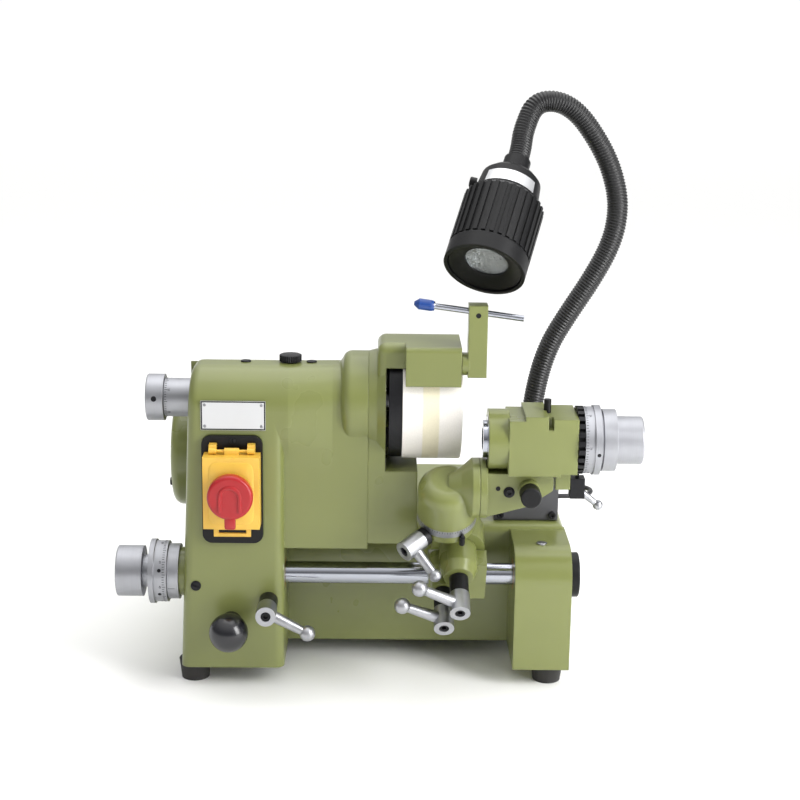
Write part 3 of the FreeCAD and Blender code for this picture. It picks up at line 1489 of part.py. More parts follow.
def switch_flap():
    """Hinged cover over the buttons, hollow behind, with the mushroom stop in front."""
    outer = front_box("flap_outer", "switch_left", SWITCH_LOW, "switch_width", "switch_height",
                      FLAP_START, "flap_depth")
    inner = front_box("flap_inner", "(switch_left - flap_wall)", f"{SWITCH_LOW} + flap_wall",
                      "switch_width - 2 * flap_wall", "switch_height - 2 * flap_wall",
                      f"({FLAP_START} - 1)", "flap_depth - flap_wall + 1")
    stem_hole = drill("stem_hole", "mushroom_stem_radius + running_gap", "flap_depth + 2",
                      (BUTTON_X, f"front_y - {FLAP_START}", MUSHROOM_LINE), FRONT)
    latch = front_box("flap_latch", "(switch_left - switch_width * 0.17)", f"{SWITCH_LOW} - latch_drop",
                      "switch_width * 0.66", "latch_drop + 1", FLAP_START, "flap_wall")
    slot = front_box("latch_slot", "(switch_left - switch_width * 0.17 - 4)",
                     f"{SWITCH_LOW} - latch_drop + 3",
                     "switch_width * 0.66 - 8", "latch_drop - 6", f"({FLAP_START} - 1)", "flap_wall + 2")
    barrel = drill("hinge_barrel", "hinge_radius", "hinge_barrel_length",
                   (f"{BUTTON_X} - hinge_barrel_length / 2", f"front_y - {FLAP_START}", HINGE_HEIGHT))
    web = box("hinge_web", (f"{BUTTON_X} - hinge_barrel_length / 2",
                            f"front_y - {FLAP_START} - hinge_radius", f"{HINGE_HEIGHT} - hinge_rise - 1"),
              ("hinge_barrel_length", "hinge_radius", "hinge_rise + 1"))
    reach = "(hinge_lug_side + hinge_lug_width / 2)"
    pin = drill("hinge_pin", "hinge_pin_radius", f"2 * {reach}",
                (f"{BUTTON_X} - {reach}", f"front_y - {FLAP_START}", HINGE_HEIGHT))
    solid = fused("flap_solid", cut("flap_shell", outer, inner), latch, barrel, web, pin)
    node("switch_flap", cut("flap_cut", solid, stem_hole, slot))
    stem = f"({FLAP_START} + flap_depth)"
    top = "mushroom_lift + mushroom_depth"
    button = turned("mushroom", [
        ("-flap_wall - 2", 0),
        ("-flap_wall - 2", "mushroom_stem_radius"),
        ("mushroom_lift", "mushroom_stem_radius"),
        ("mushroom_lift", "mushroom_radius"),
        (top, "mushroom_radius"),
        (top, 0),
    ])
    soften(button, 3, rim(top, "mushroom_radius"))
    node("mushroom_stop", seat(button, at(BUTTON_X, f"front_y - {stem}", MUSHROOM_LINE, FRONT)))


def rating_plate():
    low = f"{COLUMN_TOP} - rating_low"
    plate = front_box("rating", "rating_left", low, "rating_width", "rating_height", 0, 0.8)
    return node("rating_plate", plate)


def fixing_screws():
    """Slotted screws on the column, the foot and the barrel."""
    places = (
        at("seam_x - 146", "front_y", "bar_height - 3", FRONT),
        at("seam_x + (foot_left + base_right) / 2", BAR_Y, "bar_height + foot_round", UP),
        at("seam_x - 105", SPINDLE_Y, COLUMN_TOP, UP),
        at("seam_x - 49", SPINDLE_Y, COLUMN_TOP, UP),
    )
    screws = []
    for index, place in enumerate(places):
        screw = turned(f"screw_{index}", [
            (0, 0),
            (0, "screw_radius"),
            ("screw_height", "screw_radius - 0.5"),
            ("screw_height", 0),
        ])
        screws.append(seat(screw, place))
    return node("fixing_screws", grouped("screws", *screws))


# Lamp on its bracket


def lamp_bracket():
    """Bent sheet: floor flange, front wall and a shelf for the neck."""
    sheet_body = padded("bracket_sheet", "YZ_Plane", [
        (0, 0),
        ("sheet_depth", 0),
        ("sheet_depth", "sheet_thickness"),
        ("sheet_thickness", "sheet_thickness"),
        ("sheet_thickness", "sheet_height - sheet_thickness"),
        ("sheet_depth", "sheet_height - sheet_thickness"),
        ("sheet_depth", "sheet_height"),
        (0, "sheet_height"),
    ], "sheet_width")
    soften(sheet_body, "sheet_thickness", either(
        straight("x", y=0, z=0), straight("x", y=0, z="sheet_height")))
    wing = box("bracket_wing", ("sheet_width - sheet_thickness", "sheet_thickness", "sheet_thickness"),
               ("sheet_thickness", "sheet_depth / 2", "sheet_height - 2 * sheet_thickness"))
    whole = fused("bracket_fused", sheet_body, wing)
    place = at("seam_x + bracket_left", "front_y + base_wall + base_round", "base_top")
    node("lamp_bracket", seat(whole, place))
    nut = turned("neck_nut", [
        (0, "hose_bore"),
        (0, "neck_nut_radius"),
        ("neck_nut_height * 0.6", "neck_nut_radius"),
        ("neck_nut_height", "hose_radius + 1"),
        ("neck_nut_height", "hose_bore"),
    ])
    node("gooseneck_nut", seat(nut, at("seam_x + neck_station", "front_y + neck_back",
                                       "base_top + sheet_height", UP)))


# Route of the gooseneck from the nut to the lamp, as offsets from the nut's top
NECK_ROUTE = [
    (0, 0, 0),
    (3, 0, 38),
    (11, 0, 84),
    (24, 0, 116),
    (42, 1, 145),
    (59, 3, 173),
    (69, 5, 201),
    (71, 6, 224),
    (67, 8, 248),
    (42, 9, 294),
    (11, 6, 311),
    (-9, -3, 297),
    (-15, -14, 275),
    (-19, -23, 264.5),
]
LAMP_WAY = FreeCAD.Vector(-0.27, -0.65, -0.71).normalize()


def neck_start():
    return FreeCAD.Vector(number("seam_x + neck_station"), number("front_y + neck_back"),
                          number("base_top + sheet_height + neck_nut_height"))


def neck_curve():
    start = neck_start()
    points = [start + FreeCAD.Vector(*offset) for offset in NECK_ROUTE]
    curve = Part.BSplineCurve()
    curve.interpolate(points, InitialTangent=FreeCAD.Vector(0, 0, 1), FinalTangent=LAMP_WAY)
    return curve


def ring_wire(curve, share, radius):
    """Circle square to the curve, its X axis kept near the model's Y axis."""
    length = curve.length()
    where = curve.parameterAtDistance(share * length)
    centre = curve.value(where)
    along = FreeCAD.Vector(*curve.tangent(where)[0])
    side = FreeCAD.Vector(0, 1, 0)
    side = (side - along * side.dot(along)).normalize()
    circle = Part.Circle(FreeCAD.Vector(0, 0, 0), FreeCAD.Vector(0, 0, 1), radius)
    wire = Part.Wire(circle.toShape())
    turn = FreeCAD.Rotation(side, along.cross(side), along, "XYZ")
    wire.Placement = FreeCAD.Placement(centre, turn)
    return wire


def gooseneck():
    """Ribbed hose: four circles to a rib, and a plain bore."""
    curve = neck_curve()
    count = int(number("rib_count"))
    high = number("hose_radius")
    low = high - number("hose_groove")
    steps = ((0.0, low), (0.25, high), (0.65, high), (0.9, low))
    rings = [ring_wire(curve, (rib + part) / count, radius) for rib in range(count) for part, radius in steps]
    rings.append(ring_wire(curve, 1.0, low))
    hose = Part.makeLoft(rings, True, True)
    bores = [ring_wire(curve, index / count, number("hose_bore")) for index in range(count + 1)]
    bore = Part.makeLoft(bores, True, True)
    neck = doc.addObject("Part::Feature", "neck")
    neck.Shape = hose.cut(bore)
    return node("gooseneck", neck)


def lamp_place():
    """Placement whose own X axis runs from the neck's end out through the lamp's mouth."""
    end = neck_start() + FreeCAD.Vector(*NECK_ROUTE[-1])
    turn = FreeCAD.Rotation(FreeCAD.Vector(1, 0, 0), LAMP_WAY)
    return FreeCAD.Placement(end, turn)


SHROUD_START = "(lamp_collar_length + lamp_shoulder_length)"
LAMP_END = "(lamp_collar_length + lamp_shoulder_length + shroud_length)"
LAMP_KNOB = at("lamp_collar_length + 17", 0, 0, ("1; 0; 0", 137.6)) + " * " + at(0, 0, 0, UP)


def lamp_pieces():
    back = turned("lamp_back", [
        (0, "hose_bore"),
        (0, "lamp_collar_radius"),
        ("lamp_collar_length", "lamp_collar_radius"),
        ("lamp_collar_length + 3", "lamp_shoulder_radius - 6.5"),
        ("lamp_collar_length + 8", "lamp_shoulder_radius - 2"),
        (f"{SHROUD_START} - 3", "lamp_shoulder_radius"),
        (SHROUD_START, "lamp_shoulder_radius"),
        (SHROUD_START, "lamp_shoulder_radius - 4"),
        ("lamp_collar_length + 12", "lamp_shoulder_radius - 6"),
        ("lamp_collar_length + 8", "hose_bore"),
    ])
    knob_hole = drill("lamp_knob_hole", "1.5 + running_gap", 20, (0, 0, 0))
    seat(knob_hole, LAMP_KNOB, at("lamp_shoulder_radius - 9", 0, 0), at(0, 0, 0, ("0; 1; 0", 90)))
    drilled = cut("lamp_back_drilled", back, knob_hole)
    shroud = turned("shroud", [
        (SHROUD_START, "lamp_shoulder_radius - 4"),
        (SHROUD_START, "lamp_shoulder_radius + 2"),
        (f"{SHROUD_START} + 4", "shroud_radius"),
        (f"{LAMP_END} - 16", "shroud_radius"),
        (f"{LAMP_END} - 14", "shroud_radius + shroud_rib_height"),
        (LAMP_END, "shroud_radius + shroud_rib_height"),
        (LAMP_END, "shroud_radius - shroud_wall / 2"),
        (f"{LAMP_END} - 13.5", "shroud_radius - shroud_wall / 2"),
        (f"{LAMP_END} - 13.5", "shroud_radius - shroud_wall"),
        (f"{SHROUD_START} + shroud_wall", "shroud_radius - shroud_wall"),
        (f"{SHROUD_START} + shroud_wall", "lamp_shoulder_radius - 4"),
    ])
    ribs = []
    for index in range(int(number("shroud_rib_count"))):
        rib = box(f"shroud_rib_{index}", (0, 0, 0), ("shroud_length - 20", 3.4, "shroud_rib_height + 1"))
        seat(rib, at(0, 0, 0, ("1; 0; 0", f"{index} * 360 / shroud_rib_count")),
             at(f"{SHROUD_START} + 4", -1.7, "shroud_radius - 1"))
        ribs.append(rib)
    ribbed = fused("ribbed_shroud", shroud, *ribs)
    seat_at = f"({LAMP_END} - 13.5)"
    mirror = turned("mirror_cup", [
        (f"{seat_at} - reflector_depth", 8),
        (f"{seat_at} - reflector_depth", 10),
        (seat_at, "reflector_radius"),
        (seat_at, "shroud_radius - shroud_wall / 2 - running_gap"),
        (f"{seat_at} + 1.5", "shroud_radius - shroud_wall / 2 - running_gap"),
        (f"{seat_at} + 1.5", "reflector_radius - 2"),
    ])
    lens = turned("glass", [
        (f"{seat_at} + 1.5", 0),
        (f"{seat_at} + 1.5", "shroud_radius - shroud_wall / 2 - running_gap"),
        (f"{seat_at} + 4", "shroud_radius - shroud_wall / 2 - running_gap"),
        (f"{seat_at} + 4", 0),
    ])
    knob = turned("lamp_knob", [
        ("lamp_shoulder_radius - 7", 0),
        ("lamp_shoulder_radius - 7", 1.5),
        ("lamp_shoulder_radius + turning_gap", 1.5),
        ("lamp_shoulder_radius + turning_gap", "lamp_knob_radius"),
        ("lamp_shoulder_radius + lamp_knob_length", "lamp_knob_radius"),
        ("lamp_shoulder_radius + lamp_knob_length", 0),
    ])
    soften(knob, 1, rim("lamp_shoulder_radius + lamp_knob_length", "lamp_knob_radius"))
    seat(knob, LAMP_KNOB)
    names = ("lamp_back_shell", "lamp_shroud", "lamp_reflector", "lamp_lens", "lamp_switch")
    for name, piece in zip(names, (drilled, ribbed, mirror, lens, grouped("lamp_knobs", knob))):
        piece.Placement = lamp_place()
        node(name, piece)


# Short lead from the lamp bracket back to the base, as offsets from the bracket's right corner
LEAD_ROUTE = [
    (0, 12, 20),
    (19.5, 12, 20),
    (33.3, 25.8, 19.2),
    (33.3, 45.3, 17.6),
    (19.5, 59.1, 15.8),
    (0, 59.1, 15),
]


def lead_start():
    return FreeCAD.Vector(number("seam_x + bracket_left + sheet_width"),
                          number("front_y + base_wall + base_round"), number("base_top"))


def lamp_lead():
    """Tube along straight runs joined by the largest tangent arcs that they allow."""
    corner = lead_start()
    points = [corner + FreeCAD.Vector(*offset) for offset in LEAD_ROUTE]
    edges = []
    last = points[0]
    for before, here, after in zip(points, points[1:], points[2:]):
        way_in = (here - before).normalize()
        way_out = (after - here).normalize()
        setback = 0.45 * min((here - before).Length, (after - here).Length)
        turn = way_in.getAngle(way_out)
        radius = setback / math.tan(turn / 2)
        print(f"lead bend radius {radius:.1f} mm")
        start = here - way_in * setback
        end = here + way_out * setback
        inward = (way_out - way_in).normalize()
        middle = here + inward * (radius / math.cos(turn / 2) - radius)
        edges.append(Part.LineSegment(last, start).toShape())
        edges.append(Part.Arc(start, middle, end).toShape())
        last = end
    edges.append(Part.LineSegment(last, points[-1]).toShape())
    path = Part.Wire(edges)
    section = Part.Wire(Part.Circle(points[0], points[1] - points[0], number("lead_radius")).toShape())
    tube = path.makePipeShell([section], True, False)
    expected = math.pi * number("lead_radius") ** 2 * path.Length
    print(f"lead volume {tube.Volume:.0f} of {expected:.0f}, length {path.Length:.0f} mm")
    lead = doc.addObject("Part::Feature", "lead")
    lead.Shape = tube
    return node("lamp_lead", lead)


def cable_glands():
    """Elbow gland on the base for the lamp's lead and the mains gland at the rear."""
    corner_x = "seam_x + bracket_left + sheet_width"
    corner_y = "front_y + base_wall + base_round"
    elbow = box("elbow_gland", (f"{corner_x} - 14", f"{corner_y} + 52.1", "base_top"), (14, 14, 22))
    mains = turned("mains_gland", [
        (0, "mains_bore"),
        (0, "gland_radius + 4"),
        (6, "gland_radius + 4"),
        (6, "gland_radius + 2"),
        (16, "gland_radius"),
        (16, "mains_bore"),
    ])
    seat(mains, at("seam_x - base_left + mains_station", "front_y + base_back", "foot_height + mains_height",
                   BACK))
    node("cable_glands", grouped("glands", elbow, mains))


def build():
    base_casting()
    wheel_head_casting()
    rubber_feet()
    bar_bushes()
    bar_end_cap()
    belt_cover()
    motor_pieces()
    drive_belt()
    quill()
    spindle_pieces()
    wheel_feed_knob()
    quill_lock_screw()
    feed_dial()
    slide_bar()
    clamp_levers()
    stop_plunger()
    saddle()
    knuckle()
    swivel_dome()
    head_bracket()
    workhead_block()
    work_spindle()
    index_pawl()
    spindle_lock_pin()
    dresser()
    switch_pieces()
    switch_flap()
    rating_plate()
    fixing_screws()
    lamp_bracket()
    gooseneck()
    lamp_pieces()
    lamp_lead()
    cable_glands()
    doc.recompute()


def check_and_write():
    failed = [thing.Name for thing in doc.Objects if {"Invalid", "Error"} & set(thing.State)]
    failed += [thing.Label for thing in NODES if thing.Shape.isNull() or not thing.Shape.isValid()]
    if failed:
        raise RuntimeError("these objects failed: " + ", ".join(failed))
    os.makedirs("parts", exist_ok=True)
    for thing in NODES:
        thing.Shape.exportStep(f"parts/{thing.Label}.step")
    print(f"{len(NODES)} nodes written")


build()
check_and_write()
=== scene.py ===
"""Finishes, graduations and small hardware of a bench cutter grinder, built round its CAD frame."""

import json
import math

import bmesh
import bpy
from bpy.props import FloatProperty, FloatVectorProperty, IntProperty, PointerProperty
from mathutils import Matrix, Vector


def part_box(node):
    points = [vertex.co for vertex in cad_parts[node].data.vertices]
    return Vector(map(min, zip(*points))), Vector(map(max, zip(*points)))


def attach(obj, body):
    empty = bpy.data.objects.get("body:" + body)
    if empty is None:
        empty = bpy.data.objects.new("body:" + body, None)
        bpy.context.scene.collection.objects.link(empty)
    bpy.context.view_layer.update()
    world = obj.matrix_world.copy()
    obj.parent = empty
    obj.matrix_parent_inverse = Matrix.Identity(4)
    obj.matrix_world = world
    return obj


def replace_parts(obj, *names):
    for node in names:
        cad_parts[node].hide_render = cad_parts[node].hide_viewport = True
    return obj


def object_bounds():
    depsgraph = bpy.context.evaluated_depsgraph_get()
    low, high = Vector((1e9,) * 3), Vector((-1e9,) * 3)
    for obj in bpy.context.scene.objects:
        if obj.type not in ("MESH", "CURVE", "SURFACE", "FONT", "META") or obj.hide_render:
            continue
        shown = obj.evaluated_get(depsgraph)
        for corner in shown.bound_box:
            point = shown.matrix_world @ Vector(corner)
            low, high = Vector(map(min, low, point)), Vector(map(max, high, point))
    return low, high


bl_info = {
    "name": "Cutter grinder finishes",
    "version": (1, 0, 0),
    "blender": (4, 5, 0),
    "location": "View3D > Sidebar > Grinder",
    "description": "Finishes, graduations and small hardware over the grinder's CAD frame",
    "category": "Object",
}

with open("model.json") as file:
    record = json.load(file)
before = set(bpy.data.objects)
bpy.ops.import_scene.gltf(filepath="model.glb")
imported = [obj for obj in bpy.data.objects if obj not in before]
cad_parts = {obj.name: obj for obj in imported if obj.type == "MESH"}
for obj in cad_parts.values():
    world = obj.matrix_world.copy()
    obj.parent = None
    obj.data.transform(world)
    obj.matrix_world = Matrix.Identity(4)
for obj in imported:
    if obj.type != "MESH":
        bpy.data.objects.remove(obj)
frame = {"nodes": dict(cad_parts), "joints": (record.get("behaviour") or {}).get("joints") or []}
CAD_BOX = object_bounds()
NODES = frame["nodes"]
JOINTS = {joint["name"]: joint for joint in frame["joints"]}
MM = 0.001
FINISHES = {}
RIGHT, BACK, FRONT, UP = (1, 0, 0), (0, 1, 0), (0, -1, 0), (0, 0, 1)
CORNERS = ((-1, -1), (1, -1), (1, 1), (-1, 1))
# How far trim is sunk into the surface that it stands on
SUNK = 0.3 * MM
NODE_SMOOTH = math.radians(30)
SCREW_SIDES = 36
SPLINE_STEPS = 24
TINY = 1e-6


# Colours and shader nodes

def linear(code):
    """Turns an sRGB hex colour into the linear values that shaders take."""
    shares = [int(code[place:place + 2], 16) / 255 for place in (1, 3, 5)]
    return tuple(s / 12.92 if s <= 0.04045 else ((s + 0.055) / 1.055) ** 2.4 for s in shares)


def per_mm(size):
    """Texture scale that gives a pattern of this size in millimetres."""
    return 1 / (size * MM)


def shade(colour, share):
    """A colour made darker or lighter by a share."""
    return tuple(min(1.0, part * share) for part in colour)


def add(tree, kind, settings=None, stops=(), **inputs):
    """Adds one node, sets its properties and ramp stops, and fills or links its inputs by name."""
    made = tree.nodes.new(kind)
    for key, value in (settings or {}).items():
        setattr(made, key, value)
    for index, (place, colour) in enumerate(stops):
        ramp = made.color_ramp.elements
        stop = ramp[index] if index < 2 else ramp.new(place)
        stop.position = place
        stop.color = (*colour, 1)
    for name, value in inputs.items():
        socket = made.inputs[name.replace("_", " ")]
        if isinstance(value, bpy.types.NodeSocket):
            tree.links.new(value, socket)
        else:
            socket.default_value = value
    return made


def begin(name, colour, **values):
    """A new material with plain values on the shader's own sockets, and its object coordinates."""
    material = bpy.data.materials.new(name)
    material.use_nodes = True
    material.diffuse_color = (*colour, 1)
    tree = material.node_tree
    shader = tree.nodes["Principled BSDF"]
    shader.inputs["Base Color"].default_value = (*colour, 1)
    for key, value in values.items():
        shader.inputs[key.replace("_", " ")].default_value = value
    FINISHES[name] = material
    return tree, shader, add(tree, "ShaderNodeTexCoord").outputs["Object"]


def tone(tree, shader, where, colour, size, spread=0.06):
    """Slow drift of the colour round its mean, in patches of a size in millimetres."""
    noise = add(tree, "ShaderNodeTexNoise", Vector=where, Scale=per_mm(size), Detail=3.0)
    stops = [(0.3, shade(colour, 1 - spread)), (0.7, shade(colour, 1 + spread))]
    ramp = add(tree, "ShaderNodeValToRGB", stops=stops, Fac=noise.outputs[0])
    tree.links.new(ramp.outputs["Color"], shader.inputs["Base Color"])
    return noise


def relief(tree, shader, height, depth, strength=1.0, edge=0.0):
    """Bump of a real depth in millimetres, over edges rounded by a radius in millimetres."""
    bump = add(tree, "ShaderNodeBump", Height=height, Distance=depth * MM, Strength=strength)
    if edge:
        rounded = add(tree, "ShaderNodeBevel", {"samples": 4}, Radius=edge * MM)
        tree.links.new(rounded.outputs["Normal"], bump.inputs["Normal"])
    tree.links.new(bump.outputs["Normal"], shader.inputs["Normal"])


def sheen_range(tree, shader, height, low, high):
    """Roughness that wanders between two values with a pattern."""
    stops = [(0.25, (low,) * 3), (0.75, (high,) * 3)]
    ramp = add(tree, "ShaderNodeValToRGB", stops=stops, Fac=height)
    tree.links.new(ramp.outputs["Color"], shader.inputs["Roughness"])


# Materials, each named for what it is and how its surface was made

def green_enamel(colour):
    # Enamel sprayed on filled and rubbed cast iron: soft sheen, faint orange peel, slow drift of tone
    tree, shader, where = begin("green_enamel_sprayed_on_cast_iron", colour, IOR=1.5, Coat_Weight=0.2,
                                Coat_Roughness=0.18)
    patches = tone(tree, shader, where, colour, 70, 0.035)
    peel = add(tree, "ShaderNodeTexNoise", Vector=where, Scale=per_mm(2.4), Detail=1.0)
    sheen_range(tree, shader, patches.outputs[0], 0.25, 0.35)
    relief(tree, shader, peel.outputs[0], 0.02, 0.6, 1.5)


def turned_aluminium(colour):
    # Aluminium turned on a lathe and satin anodised: fine rings across the axis, broad soft highlights
    tree, shader, where = begin("satin_anodised_turned_aluminium", colour, Metallic=1.0, Anisotropic=0.35)
    # Real rings are about 0.15 mm apart and are drawn at 0.5 mm so that they show
    across = add(tree, "ShaderNodeMapping", Vector=where, Scale=(per_mm(0.5), per_mm(60), per_mm(60)))
    rings = add(tree, "ShaderNodeTexNoise", Vector=across.outputs[0], Scale=1.0, Detail=2.0)
    tone(tree, shader, where, colour, 25, 0.05)
    sheen_range(tree, shader, rings.outputs[0], 0.38, 0.52)
    relief(tree, shader, rings.outputs[0], 0.015, 0.5, 0.5)


def ground_chrome(colour):
    # Steel ground true and hard chromed: near mirror, with hair lines round the bar
    tree, shader, where = begin("hard_chromed_ground_steel", colour, Metallic=1.0)
    across = add(tree, "ShaderNodeMapping", Vector=where, Scale=(per_mm(0.6), per_mm(30), per_mm(30)))
    lines = add(tree, "ShaderNodeTexNoise", Vector=across.outputs[0], Scale=1.0, Detail=2.0)
    sheen_range(tree, shader, lines.outputs[0], 0.10, 0.20)
    relief(tree, shader, lines.outputs[0], 0.004, 0.4, 0.4)


def lever_chrome(colour):
    # Zinc die casting, tumbled and satin chromed: soft bright highlights, a trace of the casting's waves
    tree, shader, where = begin("satin_chromed_die_cast_zinc", colour, Metallic=1.0)
    skin = tone(tree, shader, where, colour, 6, 0.05)
    sheen_range(tree, shader, skin.outputs[0], 0.34, 0.46)
    relief(tree, shader, skin.outputs[0], 0.06, 0.5, 0.4)


def plain_steel(colour):
    # Mild steel, ground and oiled: grey metal with short scratches
    tree, shader, where = begin("ground_mild_steel", colour, Metallic=1.0)
    scratches = add(tree, "ShaderNodeTexNoise", Vector=where, Scale=per_mm(0.8), Detail=3.0)
    sheen_range(tree, shader, scratches.outputs[0], 0.28, 0.45)
    relief(tree, shader, scratches.outputs[0], 0.01, 0.4, 0.3)


def bronze(colour):
    # Leaded bronze, bored and faced: warm metal with tool rings
    tree, shader, where = begin("turned_leaded_bronze", colour, Metallic=1.0)
    rings = tone(tree, shader, where, colour, 1.5, 0.08)
    sheen_range(tree, shader, rings.outputs[0], 0.30, 0.42)
    relief(tree, shader, rings.outputs[0], 0.01, 0.4)


def black_oxide(colour):
    # Steel blackened in hot oxide and oiled: deep grey with a dull metal glint on its edges
    tree, shader, where = begin("hot_black_oxide_steel", colour, Metallic=0.55)
    skin = tone(tree, shader, where, colour, 4, 0.15)
    sheen_range(tree, shader, skin.outputs[0], 0.34, 0.50)
    relief(tree, shader, skin.outputs[0], 0.02, 0.4, 0.4)


def hose_lacquer(colour):
    # Steel strip wound to a hose and lacquered black: each turn carries its own bright line
    tree, shader, where = begin("lacquered_wound_steel_strip", colour, IOR=1.5, Coat_Weight=0.1,
                                Coat_Roughness=0.25)
    skin_tone = tone(tree, shader, where, colour, 9, 0.15)
    sheen_range(tree, shader, skin_tone.outputs[0], 0.34, 0.44)


def grey_sheet(colour):
    # Folded steel sheet under dark powder coat: even, fine pimpled skin
    tree, shader, where = begin("dark_grey_powder_coated_sheet", colour, IOR=1.5)
    pimples = add(tree, "ShaderNodeTexNoise", Vector=where, Scale=per_mm(1.2), Detail=2.0)
    tone(tree, shader, where, colour, 30, 0.06)
    sheen_range(tree, shader, pimples.outputs[0], 0.38, 0.52)
    relief(tree, shader, pimples.outputs[0], 0.04, 0.6, 0.5)


def black_moulding(colour):
    # ABS moulded in a spark-eroded tool: fine even grain, low sheen
    tree, shader, where = begin("black_grained_moulded_abs", colour, IOR=1.5, Specular_IOR_Level=0.3)
    grain = add(tree, "ShaderNodeTexVoronoi", Vector=where, Scale=per_mm(0.9))
    tone(tree, shader, where, colour, 18, 0.10)
    sheen_range(tree, shader, grain.outputs["Distance"], 0.36, 0.48)
    relief(tree, shader, grain.outputs["Distance"], 0.03, 0.5, 0.5)


def black_phenolic(colour):
    # Phenolic moulded and polished: glossy black with a faint flow in it
    tree, shader, where = begin("polished_moulded_phenolic", colour, IOR=1.6)
    flow = tone(tree, shader, where, colour, 12, 0.2)
    sheen_range(tree, shader, flow.outputs[0], 0.16, 0.26)
    relief(tree, shader, flow.outputs[0], 0.03, 0.3, 0.4)


def coloured_moulding(name, colour):
    # Bright ABS moulded, or vinyl dipped: smooth, slightly translucent skin with soft edges
    tree, shader, where = begin(name, colour, IOR=1.53, Subsurface_Weight=0.06, Subsurface_Scale=0.002)
    flow = tone(tree, shader, where, colour, 14, 0.03)
    sheen_range(tree, shader, flow.outputs[0], 0.28, 0.38)
    relief(tree, shader, flow.outputs[0], 0.04, 0.4, 0.6)


def white_abrasive(colour, band):
    # White fused alumina in a fired bond: open grit, matt, with a paler and a yellower moulded layer
    tree, shader, where = begin("fired_white_alumina_grit", colour, Specular_IOR_Level=0.2)
    low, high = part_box("grinding_wheel")
    along = add(tree, "ShaderNodeSeparateXYZ", Vector=where)
    # The middle layer lies between 33 and 62 hundredths of the width
    share = add(tree, "ShaderNodeMapRange", Value=along.outputs["X"], From_Min=low.x, From_Max=high.x)
    layers = [(0.0, colour), (0.33, colour), (0.345, band), (0.60, band), (0.62, colour)]
    layer = add(tree, "ShaderNodeValToRGB", stops=layers, Fac=share.outputs[0])
    grit = add(tree, "ShaderNodeTexVoronoi", Vector=where, Scale=per_mm(0.7))
    speck = add(tree, "ShaderNodeValToRGB", stops=[(0.0, (0.86,) * 3), (0.55, (1.0,) * 3)],
                Fac=grit.outputs["Distance"])
    mixed = add(tree, "ShaderNodeVectorMath", {"operation": "MULTIPLY"})
    tree.links.new(layer.outputs["Color"], mixed.inputs[0])
    tree.links.new(speck.outputs["Color"], mixed.inputs[1])
    tree.links.new(mixed.outputs[0], shader.inputs["Base Color"])
    sheen_range(tree, shader, grit.outputs["Distance"], 0.75, 0.95)
    relief(tree, shader, grit.outputs["Distance"], 0.15, 0.5, 0.5)


def brushed_plate(colour):
    # Thin aluminium plate, brushed along its length and lacquered
    tree, shader, where = begin("lacquered_brushed_aluminium", colour, Metallic=0.85, Coat_Weight=0.3)
    along = add(tree, "ShaderNodeMapping", Vector=where, Scale=(per_mm(20), per_mm(0.35), per_mm(0.35)))
    lines = add(tree, "ShaderNodeTexNoise", Vector=along.outputs[0], Scale=1.0, Detail=2.0)
    sheen_range(tree, shader, lines.outputs[0], 0.32, 0.48)
    relief(tree, shader, lines.outputs[0], 0.01, 0.4)


def foot_rubber(colour):
    # Nitrile rubber, moulded: matt, with a dusty bloom
    tree, shader, where = begin("moulded_nitrile_rubber", colour, IOR=1.52)
    bloom = tone(tree, shader, where, colour, 5, 0.2)
    sheen_range(tree, shader, bloom.outputs[0], 0.6, 0.8)
    relief(tree, shader, bloom.outputs[0], 0.05, 0.5, 0.6)


def mirror_cup(colour):
    # Aluminium vapour on a moulded cup: mirror broken into small facets
    tree, shader, where = begin("vacuum_coated_reflector", colour, Metallic=1.0, Roughness=0.12)
    facets = add(tree, "ShaderNodeTexVoronoi", Vector=where, Scale=per_mm(3.5))
    relief(tree, shader, facets.outputs["Distance"], 0.5, 0.6)


def pressed_glass(colour):
    # Borosilicate pressed with a pebbled back: clear with broken highlights
    tree, shader, where = begin("pressed_pebbled_glass", colour, IOR=1.47, Roughness=0.12,
                                Transmission_Weight=0.85)
    pebbles = add(tree, "ShaderNodeTexVoronoi", Vector=where, Scale=per_mm(3.0))
    relief(tree, shader, pebbles.outputs["Distance"], 0.6, 0.7)


def engraved_paint(name, colour):
    # Enamel rubbed into engraved lines: flat and dull
    tree, shader, where = begin(name, colour, IOR=1.45)
    specks = tone(tree, shader, where, colour, 0.8, 0.2)
    sheen_range(tree, shader, specks.outputs[0], 0.55, 0.7)


def cord_sleeve(colour):
    # PVC extruded over the cores: smooth, soft sheen, faint die lines
    tree, shader, where = begin("extruded_pvc_sleeve", colour, IOR=1.53)
    skin = tone(tree, shader, where, colour, 3, 0.1)
    sheen_range(tree, shader, skin.outputs[0], 0.38, 0.5)


def studio_board(colour):
    # Painted board that takes a soft shadow
    tree, shader, where = begin("matt_painted_board", colour, IOR=1.4)
    roller = tone(tree, shader, where, colour, 40, 0.004)
    sheen_range(tree, shader, roller.outputs[0], 0.88, 0.94)


# Mesh helpers

def grown(name, shape, finish, body, angle=35):
    """Turns a bmesh into a piece with a finish that rides on a body."""
    mesh = bpy.data.meshes.new(name)
    bmesh.ops.recalc_face_normals(shape, faces=shape.faces)
    shape.to_mesh(mesh)
    shape.free()
    mesh.shade_smooth()
    mesh.set_sharp_from_angle(angle=math.radians(angle))
    mesh.materials.append(FINISHES[finish])
    made = bpy.data.objects.new(name, mesh)
    bpy.context.scene.collection.objects.link(made)
    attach(made, body)
    return made


